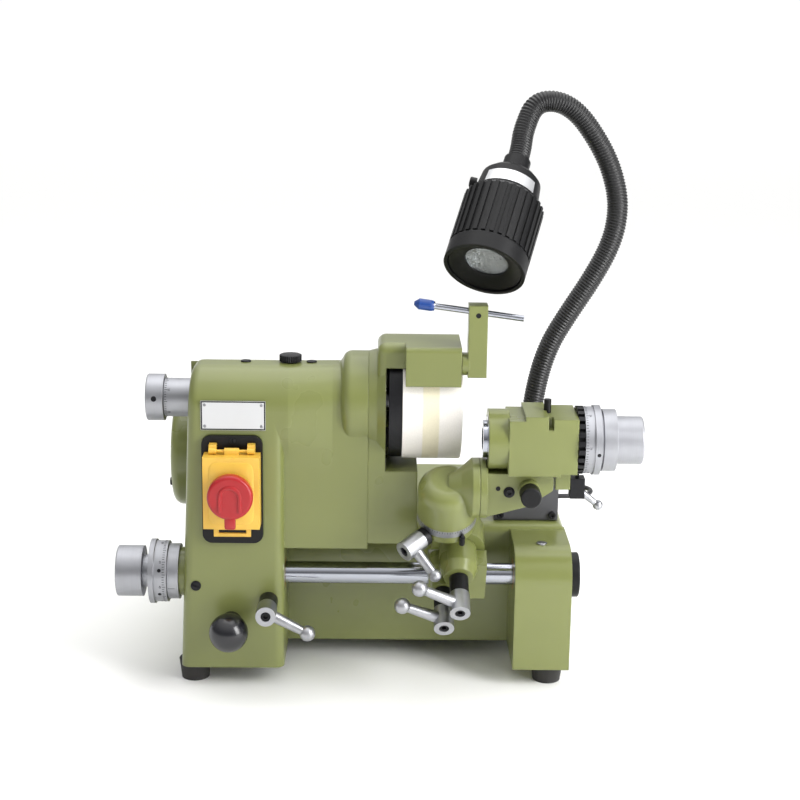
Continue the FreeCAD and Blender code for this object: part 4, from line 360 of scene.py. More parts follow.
def axis_matrix(origin, along, up=UP):
    """Matrix whose own X axis lies along a direction from a point."""
    x = Vector(along).normalized()
    z = Vector(up) - x * Vector(up).dot(x)
    if z.length < TINY:
        z = Vector(BACK) - x * x.y
    z.normalize()
    y = z.cross(x)
    turn = Matrix((x, y, z)).transposed().to_4x4()
    return Matrix.Translation(Vector(origin)) @ turn


def skin(shape, rows, ring=False):
    """Closes rows of equally many corners into a solid's surface, or into a ring."""
    pairs = zip(rows, rows[1:] + rows[:1]) if ring else zip(rows, rows[1:])
    for one, two in pairs:
        for step in range(len(one)):
            after = (step + 1) % len(one)
            shape.faces.new((one[step], one[after], two[after], two[step]))
    if not ring:
        shape.faces.new(rows[0])
        shape.faces.new(reversed(rows[-1]))


def in_mm(profile):
    """Corners of a profile, given in millimetres, in metres."""
    return [(station * MM, radius * MM) for station, radius in profile]


def lathe(shape, profile, place, segments, wave=0.0, lobes=0, ring=False):
    """Turns (station, radius) corners in metres about the X axis of a place; lobes flute the outside."""
    rows = []
    outer = max(radius for station, radius in profile)
    for station, radius in profile:
        row = []
        for step in range(segments):
            turn = 2 * math.pi * step / segments
            dip = wave * (0.5 - 0.5 * math.cos(lobes * turn)) if radius > outer - MM else 0.0
            r = max(radius - dip, TINY)
            row.append(shape.verts.new(place @ Vector((station, r * math.cos(turn), r * math.sin(turn)))))
        rows.append(row)
    skin(shape, rows, ring)


def pad_row(shape, place, station, across, up, square=0.3):
    """One row of a rounded oblong: half sizes across and up, at a station along the place's X axis."""
    row = []
    sides = 64
    for step in range(sides):
        turn = 2 * math.pi * (step + 0.5) / sides
        side, rise = math.cos(turn), math.sin(turn)
        y = across * math.copysign(abs(side) ** square, side)
        z = up * math.copysign(abs(rise) ** square, rise)
        row.append(shape.verts.new(place @ Vector((station, y, z))))
    return row


def slot_screw(shape, place, head):
    """Cheese head (radius, height and slot in mm), on a place whose X axis points outwards."""
    radius, height, slot = (size * MM for size in head)
    floor = height * 0.3
    steps = 16
    lathe(shape, [(-SUNK, radius), (floor, radius)], place, SCREW_SIDES)
    start = math.asin(slot / 2 / radius)
    for side in (1, -1):
        rows = []
        for station, share in ((floor - 0.05 * MM, 1.0), (height * 0.8, 1.0), (height, 0.92)):
            row = []
            for step in range(steps + 1):
                turn = start + (math.pi - 2 * start) * step / steps
                y = side * max(slot / 2, share * radius * math.sin(turn))
                row.append(shape.verts.new(place @ Vector((station, y, share * radius * math.cos(turn)))))
            rows.append(row)
        skin(shape, rows)


def socket_screw(shape, place, head):
    """Cap head (radius, height and hexagon in mm), on a place whose X axis points outwards."""
    radius, height, across = (size * MM for size in head)
    rows = []
    edge = min(0.5 * MM, radius * 0.12)
    depth = max(height - across * 0.6, 0.08 * MM)
    for station, size in ((-SUNK, radius), (height - edge, radius), (height, radius - edge),
                          (height, 0), (depth, 0)):
        row = []
        for step in range(SCREW_SIDES):
            turn = 2 * math.pi * step / SCREW_SIDES
            flat = across / 2 / math.cos((turn + math.pi / 6) % (math.pi / 3) - math.pi / 6)
            r = size or flat
            row.append(shape.verts.new(place @ Vector((station, r * math.cos(turn), r * math.sin(turn)))))
        rows.append(row)
    skin(shape, rows)


def marks(shape, place, radius, start, count, short, long, every):
    """Lines along a drum's axis, each a thin bar of paint that stands on it."""
    width, rise = sizes().line_width, sizes().line_rise
    half = width / 2 / radius
    for step in range(count):
        turn = 2 * math.pi * step / count
        length = short if step % every else long
        rows = []
        for station in (start, start + length):
            corners = ((radius - rise, turn - half), (radius - rise, turn + half),
                       (radius + rise, turn + half), (radius + rise, turn - half))
            rows.append([shape.verts.new(place @ Vector((station, r * math.cos(a), r * math.sin(a))))
                         for r, a in corners])
        skin(shape, rows)


def numeral(shape, text, place, radius, turn, station, height):
    """A number wrapped on a drum, with its top towards the place's X axis."""
    curve = bpy.data.curves.new("numeral", "FONT")
    curve.body = text
    curve.size = height
    curve.align_x = "CENTER"
    curve.extrude = sizes().line_rise
    holder = bpy.data.objects.new("numeral", curve)
    mesh = bpy.data.meshes.new_from_object(holder)
    before = len(shape.verts)
    shape.from_mesh(mesh)
    shape.verts.ensure_lookup_table()
    for corner in shape.verts[before:]:
        x, y, z = corner.co
        angle = turn + x / radius
        r = radius + z
        corner.co = place @ Vector((station + y, r * math.cos(angle), r * math.sin(angle)))
    bpy.data.objects.remove(holder)
    bpy.data.curves.remove(curve)
    bpy.data.meshes.remove(mesh)


def on_surface(name, start, way):
    """Place on a CAD node where a line from a point in mm first meets it, with X out of the surface."""
    hit, point, normal, _ = NODES[name].ray_cast(Vector(start) * MM, Vector(way))
    if not hit:
        raise RuntimeError(f"the line from {start} misses {name}")
    return axis_matrix(point, normal)


def curve_line(name, points):
    """Open smooth spline whose control points are these points."""
    curve = bpy.data.curves.new(name, "CURVE")
    curve.dimensions = "3D"
    curve.resolution_u = SPLINE_STEPS
    spline = curve.splines.new("NURBS")
    spline.points.add(len(points) - 1)
    for point, place in zip(spline.points, points):
        point.co = (*place, 1)
    spline.order_u = 3
    spline.use_endpoint_u = True
    made = bpy.data.objects.new(name, curve)
    bpy.context.scene.collection.objects.link(made)
    return made


def node_finish(finish, *names):
    """Gives CAD nodes a finish and smooth shading up to an edge angle."""
    for name in names:
        mesh = NODES[name].data
        mesh.materials.clear()
        mesh.materials.append(FINISHES[finish])
        mesh.shade_smooth()
        mesh.set_sharp_from_angle(angle=NODE_SMOOTH)


def part_finish(mesh, finish, inside):
    """Gives those faces of a mesh whose middles pass a test a second finish."""
    mesh.materials.append(FINISHES[finish])
    for face in mesh.polygons:
        if inside(face.center):
            face.material_index = len(mesh.materials) - 1


# Values that a user would change

class GrinderLook(bpy.types.PropertyGroup):
    """Colours of the machine's finishes."""

    enamel: FloatVectorProperty(name="Enamel", description="Sprayed enamel of the castings",
                                subtype="COLOR", size=3, min=0, max=1, default=linear("#767c46"))
    moulding: FloatVectorProperty(name="Lamp", description="Black mouldings of lamp and switch plate",
                                  subtype="COLOR", size=3, min=0, max=1, default=linear("#0b0b0d"))
    guard: FloatVectorProperty(name="Guard flap", description="Yellow switch body and flap",
                               subtype="COLOR", size=3, min=0, max=1, default=linear("#e2b647"))
    stop: FloatVectorProperty(name="Stop", description="Red mushroom and stop button", subtype="COLOR",
                              size=3, min=0, max=1, default=linear("#a5151c"))
    start: FloatVectorProperty(name="Start", description="Start button", subtype="COLOR",
                               size=3, min=0, max=1, default=linear("#1d7a3a"))
    tip: FloatVectorProperty(name="Dresser cap", description="Cap on the dresser's diamond",
                             subtype="COLOR", size=3, min=0, max=1, default=linear("#173f86"))
    wheel: FloatVectorProperty(name="Wheel", description="Abrasive of the cup wheel", subtype="COLOR",
                               size=3, min=0, max=1, default=linear("#f0ece6"))
    band: FloatVectorProperty(name="Wheel band", description="Middle layer of the cup wheel",
                              subtype="COLOR", size=3, min=0, max=1, default=linear("#e9e2c9"))


class GrinderSizes(bpy.types.PropertyGroup):
    """Sizes of what this script adds to the frame."""

    rib_pitch: FloatProperty(name="Rib pitch", description="Spacing of the gooseneck's turns",
                             unit="LENGTH", default=2.6 * MM)
    rib_depth: FloatProperty(name="Rib depth", description="Groove between the gooseneck's turns",
                             unit="LENGTH", default=0.75 * MM)
    hose_radius: FloatProperty(name="Hose radius", description="Outer radius of the gooseneck",
                               unit="LENGTH", default=9.2 * MM)
    lead_diameter: FloatProperty(name="Lead diameter", description="Sleeve of the lamp's lead",
                                 unit="LENGTH", default=4.2 * MM)
    line_width: FloatProperty(name="Line width", description="Engraved lines on dials", unit="LENGTH",
                              default=0.45 * MM)
    line_rise: FloatProperty(name="Line rise", description="How far the paint stands proud", unit="LENGTH",
                             default=0.08 * MM)
    hose_sides: IntProperty(name="Hose sides", description="Faces round the gooseneck", default=28)


def look():
    return bpy.context.scene.grinder_look


def sizes():
    return bpy.context.scene.grinder_sizes


# Operators, one for each piece or group of like pieces

class GRINDER_OT_finishes(bpy.types.Operator):
    """Makes every material and gives the CAD nodes theirs"""

    bl_idname = "grinder.finishes"
    bl_label = "Finishes"

    def execute(self, context):
        colours = look()
        green_enamel(tuple(colours.enamel))
        turned_aluminium(linear("#a6a7ac"))
        ground_chrome(linear("#adb0b9"))
        lever_chrome(linear("#a9aaae"))
        plain_steel(linear("#9b9ca0"))
        bronze(linear("#b08a4e"))
        black_oxide(linear("#1c1c1f"))
        hose_lacquer(linear("#0d0d0f"))
        grey_sheet(linear("#47474b"))
        black_moulding(tuple(colours.moulding))
        black_phenolic(linear("#17171c"))
        coloured_moulding("yellow_moulded_abs", tuple(colours.guard))
        coloured_moulding("red_moulded_abs", tuple(colours.stop))
        coloured_moulding("green_moulded_abs", tuple(colours.start))
        coloured_moulding("blue_dipped_vinyl", tuple(colours.tip))
        white_abrasive(tuple(colours.wheel), tuple(colours.band))
        brushed_plate(linear("#dcdddf"))
        foot_rubber(linear("#2b2928"))
        mirror_cup(linear("#b4b5b6"))
        pressed_glass(linear("#eef2f3"))
        engraved_paint("black_rubbed_in_enamel", linear("#1b1b1d"))
        cord_sleeve(linear("#1d1d20"))
        studio_board(linear("#fafaf9"))
        node_finish("green_enamel_sprayed_on_cast_iron", "base_casting", "wheel_head_casting", "belt_cover",
                    "saddle", "knuckle", "swivel_dome", "head_bracket", "workhead_block", "dresser_arm")
        node_finish("satin_anodised_turned_aluminium", "wheel_feed_sleeve", "wheel_feed_knob", "feed_dial",
                    "dial_sleeve", "swivel_ring", "work_dial", "draw_knob")
        node_finish("hard_chromed_ground_steel", "slide_bar", "dresser_rod", "work_spindle")
        node_finish("satin_chromed_die_cast_zinc", "bar_lock_lever", "saddle_lever", "knuckle_lever",
                    "swivel_lever")
        node_finish("ground_mild_steel", "quill", "spindle_bearings", "wheel_spindle", "motor_rotor",
                    "motor_stator", "feed_screw")
        node_finish("turned_leaded_bronze", "bar_bushes")
        node_finish("hot_black_oxide_steel", "wheel_clamp", "index_disc", "index_pawl", "spindle_lock_pin",
                    "gooseneck_nut")
        node_finish("dark_grey_powder_coated_sheet", "lamp_bracket", "motor_housing")
        node_finish("black_grained_moulded_abs", "lamp_back_shell", "lamp_shroud", "lamp_switch",
                    "switch_plate", "cable_glands", "bar_end_cap", "tilt_clamp_knob")
        node_finish("polished_moulded_phenolic", "stop_plunger")
        node_finish("yellow_moulded_abs", "switch_body", "switch_flap")
        node_finish("red_moulded_abs", "mushroom_stop", "stop_button")
        node_finish("green_moulded_abs", "start_button")
        node_finish("fired_white_alumina_grit", "grinding_wheel")
        node_finish("lacquered_brushed_aluminium", "rating_plate")
        node_finish("moulded_nitrile_rubber", "rubber_feet", "drive_belt")
        node_finish("vacuum_coated_reflector", "lamp_reflector")
        node_finish("pressed_pebbled_glass", "lamp_lens")
        return {"FINISHED"}


# Route of the lamp's lead from its bracket to the gland on the base, with the points of the part's
# source, in millimetres from the bracket's corner
LEAD_ROUTE = [
    (0, 12, 20),
    (19.5, 12, 20),
    (33.3, 25.8, 19.2),
    (33.3, 45.3, 17.6),
    (19.5, 59.1, 15.8),
    (0, 59.1, 15),
]


class GRINDER_OT_lamp_lead(bpy.types.Operator):
    """Lays the lamp's short lead from its bracket to the gland on the base"""

    bl_idname = "grinder.lamp_lead"
    bl_label = "Lamp lead"

    def execute(self, context):
        low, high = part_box("lamp_bracket")
        corner = Vector((high.x, low.y, low.z))
        route = [corner + Vector(offset) * MM for offset in LEAD_ROUTE]
        lead = curve_line("lamp_lead_sleeve", route)
        lead.data.bevel_depth = sizes().lead_diameter / 2
        lead.data.bevel_resolution = 6
        lead.data.use_fill_caps = True
        lead.data.materials.append(FINISHES["extruded_pvc_sleeve"])
        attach(lead, "frame")
        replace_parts(lead, "lamp_lead")
        return {"FINISHED"}


# Control points of the gooseneck's spline, which follows the bend in the part's source, in
# millimetres from the top of its nut
NECK_ROUTE = [
    (0, 0, 0),
    (0.8, 0, 19),
    (5, 0, 62),
    (15, 0, 100),
    (33, 0.5, 131),
    (51, 2, 159),
    (66, 4, 187),
    (72.5, 5.5, 212),
    (71.5, 7, 238),
    (59, 9, 272),
    (30, 9.5, 311),
    (-2, 5, 315),
    (-13.5, -6, 289),
    (-15.5, -15, 274),
    (-19, -23, 264.5),
]
ROWS_PER_TURN = 7
# A higher power makes the groove between two turns narrower
GROOVE_POWER = 1.5


class GRINDER_OT_gooseneck(bpy.types.Operator):
    """Winds the gooseneck's turns along its bend"""

    bl_idname = "grinder.gooseneck"
    bl_label = "Gooseneck"

    def execute(self, context):
        low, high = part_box("gooseneck_nut")
        top = Vector(((low.x + high.x) / 2, (low.y + high.y) / 2, high.z))
        line = curve_line("neck_line", [top + Vector(offset) * MM for offset in NECK_ROUTE])
        mesh = bpy.data.meshes.new_from_object(line)
        points = [vertex.co.copy() for vertex in mesh.vertices]
        bpy.data.objects.remove(line)
        bpy.data.meshes.remove(mesh)
        hose = grown("gooseneck_hose", wound_hose(points), "lacquered_wound_steel_strip", "frame",
                     60)
        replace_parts(hose, "gooseneck")
        return {"FINISHED"}


def wound_hose(points):
    """Tube along points whose surface is one helical turn after another."""
    pitch = sizes().rib_pitch
    radius = sizes().hose_radius
    depth = sizes().rib_depth
    sides = sizes().hose_sides
    gaps = [(b - a).length for a, b in zip(points, points[1:])]
    length = sum(gaps)
    rows = int(length / pitch * ROWS_PER_TURN)
    shape = bmesh.new()
    index = 0
    travelled = 0.0
    side = Vector(BACK)
    rings = []
    for row in range(rows + 1):
        reach = length * row / rows
        while index < len(gaps) - 1 and travelled + gaps[index] < reach:
            travelled += gaps[index]
            index += 1
        along = (points[index + 1] - points[index]).normalized()
        centre = points[index] + along * (reach - travelled)
        side = (side - along * side.dot(along)).normalized()
        other = along.cross(side)
        ring = []
        for step in range(sides):
            turn = 2 * math.pi * step / sides
            wound = math.cos(2 * math.pi * reach / pitch + turn)
            r = radius - depth * (0.5 - 0.5 * wound) ** GROOVE_POWER
            ring.append(shape.verts.new(centre + (side * math.cos(turn) + other * math.sin(turn)) * r))
        rings.append(ring)
    skin(shape, rings)
    return shape


# Raised panel of the flap: half sizes, bevel, and radius of the round hole for the mushroom
PANEL_ACROSS, PANEL_UP, PANEL_BEVEL, PANEL_HOLE = 19 * MM, 27 * MM, 1.4 * MM, 12 * MM
# The mushroom stops 1 mm above the flap when it is pressed, so the panel stays under that
PANEL_RISE = 0.7 * MM
# Tab at the mushroom's foot: its drop from the middle, half sizes, bevel and depths
TAB_DROP, TAB_ACROSS, TAB_UP, TAB_BEVEL = 21 * MM, 4.6 * MM, 6 * MM, 0.8 * MM
TAB_ROOT, TAB_EDGE, TAB_FACE = -3.6 * MM, -1.2 * MM, -0.6 * MM
PLATE_SCREW, PLATE_SCREW_DROP = (2.5, 1.0, 0.8), 4.4 * MM


class GRINDER_OT_switch_details(bpy.types.Operator):
    """Adds the flap's raised panel, the mushroom's arch and tab, and the switch plate's screw"""

    bl_idname = "grinder.switch_details"
    bl_label = "Switch details"

    def execute(self, context):
        low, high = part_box("mushroom_stop")
        middle = (low + high) / 2
        face = axis_matrix((middle.x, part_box("switch_flap")[0].y, middle.z), FRONT)
        shape = bmesh.new()
        skin(shape, [pad_row(shape, face, -SUNK, PANEL_ACROSS, PANEL_UP),
                     pad_row(shape, face, 0, PANEL_ACROSS, PANEL_UP),
                     pad_row(shape, face, PANEL_RISE, PANEL_ACROSS - PANEL_BEVEL, PANEL_UP - PANEL_BEVEL),
                     pad_row(shape, face, PANEL_RISE, PANEL_HOLE, PANEL_HOLE, 1.0),
                     pad_row(shape, face, -SUNK, PANEL_HOLE, PANEL_HOLE, 1.0)])
        grown("flap_panel", shape, "yellow_moulded_abs", "flap")
        front = axis_matrix((middle.x, low.y, middle.z), FRONT)
        shape = bmesh.new()
        skin(shape, arch_rows(shape, front))
        grown("mushroom_arch", shape, "red_moulded_abs", "mushroom", 50)
        tab = axis_matrix((middle.x, low.y, middle.z - TAB_DROP), FRONT)
        shape = bmesh.new()
        skin(shape, [pad_row(shape, tab, TAB_ROOT, TAB_ACROSS, TAB_UP),
                     pad_row(shape, tab, TAB_EDGE, TAB_ACROSS, TAB_UP),
                     pad_row(shape, tab, TAB_FACE, TAB_ACROSS - TAB_BEVEL, TAB_UP - TAB_BEVEL)])
        grown("mushroom_tab", shape, "red_moulded_abs", "mushroom", 50)
        plate_low, plate_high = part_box("switch_plate")
        shape = bmesh.new()
        spot = axis_matrix((middle.x, plate_low.y, plate_high.z - PLATE_SCREW_DROP), FRONT)
        slot_screw(shape, spot, PLATE_SCREW)
        grown("plate_screw", shape, "hot_black_oxide_steel", "frame")
        return {"FINISHED"}


def arch_rows(shape, face):
    """Rows of a flat-topped rib that goes up, round and down like a staple, its section in mm."""
    half, top, foot = 8.2 * MM, 1.0 * MM, -12.0 * MM
    path = [(-half, foot, 180), (-half, top, 180)]
    path += [(half * math.cos(math.radians(a)), top + half * math.sin(math.radians(a)), a)
             for a in range(170, 0, -10)]
    path += [(half, top, 0), (half, foot, 0)]
    section = ((1.7, -0.3), (1.5, 0.7), (1.0, 1.05), (-1.0, 1.05), (-1.5, 0.7), (-1.7, -0.3))
    rows = []
    for y, z, turn in path:
        out = Vector((0, math.cos(math.radians(turn)), math.sin(math.radians(turn))))
        rows.append([shape.verts.new(face @ (Vector((rise * MM, y, z)) + out * across * MM))
                     for across, rise in section])
    return rows


# Border of the plate (height and inset of its corners) and a rivet (station and radius), in millimetres
BORDER = ((-0.1, 0.2), (0.06, 0.2), (0.06, 1.3), (-0.1, 1.3))
RIVET = ((-0.2, 1.3), (0.15, 1.3), (0.5, 0.9), (0.62, 0.4), (0.64, 0.02))
RIVET_INSET = 3.4 * MM


class GRINDER_OT_plate_trim(bpy.types.Operator):
    """Puts a dark enamelled border and four drive rivets on the bare plate"""

    bl_idname = "grinder.plate_trim"
    bl_label = "Plate border and rivets"

    def execute(self, context):
        low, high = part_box("rating_plate")
        middle = (low + high) / 2
        face = axis_matrix((middle.x, low.y, middle.z), FRONT)
        across, up = (high.x - low.x) / 2, (high.z - low.z) / 2
        shape = bmesh.new()
        rows = []
        for station, inset in BORDER:
            y, z = across - inset * MM, up - inset * MM
            rows.append([shape.verts.new(face @ Vector((station * MM, a * y, b * z)))
                         for a, b in CORNERS])
        skin(shape, rows)
        grown("plate_border", shape, "black_rubbed_in_enamel", "frame")
        shape = bmesh.new()
        for a, b in CORNERS:
            spot = face @ Matrix.Translation((0, a * (across - RIVET_INSET), b * (up - RIVET_INSET)))
            lathe(shape, in_mm(RIVET), spot, 24)
        grown("plate_rivets", shape, "ground_mild_steel", "frame", 60)
        return {"FINISHED"}


# Slotted screws of the casting, as in the part's source: head centre in millimetres and its way out
FOOT_SCREW = (147.25, -77.8, 123)
CASTING_SCREWS = [
    ((-150.25, -105.8, 92), FRONT),
    (FOOT_SCREW, UP),
    ((-109.25, -62.3, 279), UP),
    ((-53.25, -62.3, 279), UP),
]
SLOT_TURN = math.radians(65)
# Faces this near to the foot screw's place are its own
FOOT_SCREW_NEAR = 8 * MM
# Heads in millimetres: radius, height and width of the slot or hexagon
CASTING_HEAD = (4.4, 1.2, 1.2)
BRACKET_HEAD = (3.4, 2.6, 3.0)
COVER_HEAD = (3.6, 1.6, 3.0)
PIN_HEAD = (1.9, 0.8, 0.7)
BOLT_HEAD = (3.4, 3.0, 2.8)
BOLT_WASHER, BOLT_SEAT = ((-0.3, 4.6), (0.7, 4.6), (0.9, 4.3)), 0.8 * MM
# Belt cover's screws: radius of their circle round the motor's shaft, and their places on it in degrees
COVER_CIRCLE = 40 * MM
COVER_TURNS = (90, 210, 330)


class GRINDER_OT_fixings(bpy.types.Operator):
    """Makes the casting's slotted screws and the small screws of the lamp bracket, head and cover"""

    bl_idname = "grinder.fixings"
    bl_label = "Screws"

    def execute(self, context):
        bpy.context.view_layer.update()
        shape = bmesh.new()
        for place, way in CASTING_SCREWS:
            turned = axis_matrix(Vector(place) * MM, way) @ Matrix.Rotation(SLOT_TURN, 4, "X")
            slot_screw(shape, turned, CASTING_HEAD)
        screws = grown("casting_screws", shape, "hot_black_oxide_steel", "frame")
        foot = Vector(FOOT_SCREW) * MM
        part_finish(screws.data, "ground_mild_steel",
                    lambda centre: (centre - foot).length < FOOT_SCREW_NEAR)
        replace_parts(screws, "fixing_screws")
        shape = bmesh.new()
        for x in (114, 160.5):
            socket_screw(shape, on_surface("lamp_bracket", (x, -200, 134), BACK), BRACKET_HEAD)
        _, shaft_y, shaft_z = JOINTS["motor_spin"]["pos_m"]
        for turn in COVER_TURNS:
            y = (shaft_y + COVER_CIRCLE * math.cos(math.radians(turn))) / MM
            z = (shaft_z + COVER_CIRCLE * math.sin(math.radians(turn))) / MM
            socket_screw(shape, on_surface("belt_cover", (-300, y, z), RIGHT), COVER_HEAD)
        grown("cap_screws", shape, "hot_black_oxide_steel", "frame")
        shape = bmesh.new()
        slot_screw(shape, on_surface("head_bracket", (102.5, -300, 194), BACK), PIN_HEAD)
        spot = on_surface("head_bracket", (111.5, -300, 191), BACK)
        lathe(shape, in_mm(BOLT_WASHER), spot, SCREW_SIDES)
        socket_screw(shape, spot @ Matrix.Translation((BOLT_SEAT, 0, 0)), BOLT_HEAD)
        grown("bracket_screws", shape, "hot_black_oxide_steel", "head")
        return {"FINISHED"}


# Grub screws: the body each rides on, its node, and in millimetres a point before it and its radius
GRUB_SCREWS = [
    ("feed_knob", "wheel_feed_knob", (-186, -200, 250), 2.4),
    ("dial", "feed_dial", (-182, -200, 104), 1.6),
    ("dial", "feed_dial", (-182, -200, 82), 1.6),
    ("dresser", "dresser_arm", (85, -200, 331), 2.2),
    ("work", "work_dial", (182.5, -300, 226), 1.6),
]
# How deep a grub screw sits in metres, and the height of its head in millimetres
GRUB_SUNK, GRUB_HEIGHT = 0.05 * MM, 0.25


class GRINDER_OT_grub_screws(bpy.types.Operator):
    """Sets small socket grub screws in the knobs and the dresser arm"""

    bl_idname = "grinder.grub_screws"
    bl_label = "Grub screws"

    def execute(self, context):
        bpy.context.view_layer.update()
        for number, (body, node, start, radius) in enumerate(GRUB_SCREWS, start=1):
            shape = bmesh.new()
            spot = on_surface(node, start, BACK) @ Matrix.Translation((-GRUB_SUNK, 0, 0))
            socket_screw(shape, spot, (radius, GRUB_HEIGHT, radius * 1.1))
            grown(f"grub_screw_{number}", shape, "hot_black_oxide_steel", body)
        return {"FINISHED"}


# Each clamp lever and the joint that it turns on
LEVERS = (("bar_lock_lever", "bar_clamp_turn"), ("saddle_lever", "saddle_clamp_turn"),
          ("knuckle_lever", "knuckle_clamp_turn"), ("swivel_lever", "swivel_clamp_turn"))
# Radii of a lever's hub, with room for facets, of its stud and of its sleeve
HUB_LOW, HUB_HIGH, STUD_REACH, SLEEVE_REACH = 8.3 * MM, 8.7 * MM, 4.1 * MM, 8.4 * MM
HUB_LENGTH = 20.05 * MM
HUB_SCREW, HUB_SCREW_DEPTH = (4.1, 4.2, 4.2), 5 * MM
# How far the pawl's bright handle and ball stand out of its black body
PAWL_HANDLE = 16.9 * MM


class GRINDER_OT_lever_fittings(bpy.types.Operator):
    """Blackens the levers' sleeves, puts a socket screw in each hub and brightens the pawl's handle"""

    bl_idname = "grinder.lever_fittings"
    bl_label = "Lever fittings"

    def execute(self, context):
        for node, joint in LEVERS:
            pivot, axis = Vector(JOINTS[joint]["pos_m"]), Vector(JOINTS[joint]["axis"]).normalized()
            corners = [vertex.co - pivot for vertex in NODES[node].data.vertices]
            stations = [(c.dot(axis), (c - axis * c.dot(axis)).length) for c in corners]
            hub = [s for s, r in stations if HUB_LOW < r < HUB_HIGH]
            stud = [s for s, r in stations if r < STUD_REACH]
            way = axis if sum(hub) / len(hub) > sum(stud) / len(stud) else -axis
            end = max(c.dot(way) for c, (s, r) in zip(corners, stations) if r < HUB_HIGH)
            part_finish(NODES[node].data, "hot_black_oxide_steel",
                        behind_hub(pivot, way, end - HUB_LENGTH))
            shape = bmesh.new()
            spot = axis_matrix(pivot + way * (end - HUB_SCREW_DEPTH), way)
            socket_screw(shape, spot, HUB_SCREW)
            grown(f"{node}_screw", shape, "hot_black_oxide_steel", JOINTS[joint]["child"])
        ball_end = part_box("index_pawl")[1].x
        part_finish(NODES["index_pawl"].data, "satin_chromed_die_cast_zinc",
                    lambda centre: centre.x > ball_end - PAWL_HANDLE)
        return {"FINISHED"}


def behind_hub(pivot, way, limit):
    """Test for the faces of a lever's sleeve, which lie behind its hub and near its axis."""
    def inside(centre):
        reach = (centre - pivot).dot(way)
        return reach < limit and (centre - pivot - way * reach).length < SLEEVE_REACH
    return inside


# Thumb screw: radius of its shank, height of its head, and depth and number of its flutes
THUMB_SHANK, THUMB_HEAD, FLUTE_DEPTH, FLUTES = 4 * MM, 6.4 * MM, 0.5 * MM, 36


class GRINDER_OT_thumb_screw(bpy.types.Operator):
    """Turns and knurls the thumb screw that locks the quill"""

    bl_idname = "grinder.thumb_screw"
    bl_label = "Thumb screw"

    def execute(self, context):
        low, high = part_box("quill_lock_screw")
        middle = (low + high) / 2
        place = axis_matrix((middle.x, middle.y, low.z), UP)
        tall = high.z - low.z
        radius = (high.x - low.x) / 2
        head = tall - THUMB_HEAD
        shape = bmesh.new()
        lathe(shape, [(0, THUMB_SHANK), (head, THUMB_SHANK), (head, radius - 1.1 * MM),
                      (head + 0.5 * MM, radius),
                      (tall - 0.8 * MM, radius), (tall - 0.2 * MM, radius - 1.1 * MM),
                      (tall - 0.2 * MM, radius - 2.4 * MM), (tall, radius - 2.8 * MM),
                      (tall, 1.2 * MM)], place, 6 * FLUTES, FLUTE_DEPTH, FLUTES)
        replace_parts(grown("thumb_screw", shape, "hot_black_oxide_steel", "lock_screw"),
                    "quill_lock_screw")
        return {"FINISHED"}


DRESSER_CAP = 16.5 * MM


class GRINDER_OT_dresser_cap(bpy.types.Operator):
    """Gives the dresser's diamond its dipped cap"""

    bl_idname = "grinder.dresser_cap"
    bl_label = "Dresser cap"

    def execute(self, context):
        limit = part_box("dresser_rod")[0].x + DRESSER_CAP
        part_finish(NODES["dresser_rod"].data, "blue_dipped_vinyl", lambda centre: centre.x < limit)
        return {"FINISHED"}


NUMBER_HEIGHT = 2.6 * MM
SHORT_LINE = 0.65
DATUM_TURN, DATUM_RADIUS, DATUM_START, DATUM_LENGTH = math.radians(200), 24 * MM, 0.6 * MM, 6 * MM
# Swivel's scale: radius, height above the ring's foot, lines all round and their two lengths
SWIVEL_RADIUS, SWIVEL_START, SWIVEL_LINES = 25 * MM, 4.6 * MM, 72
SWIVEL_SHORT, SWIVEL_LONG = 1.5 * MM, 2.2 * MM
# Swivel's pointer: its turn, its foot on the ring, and its profile in millimetres
POINTER_TURN, POINTER_FOOT = math.radians(118), (-9 * MM, 26.6 * MM, 0)
POINTER = ((0, 2.1), (0.4, 2.4), (9, 2.4), (9.4, 1.3), (12.8, 0.9), (13.6, 0.2))


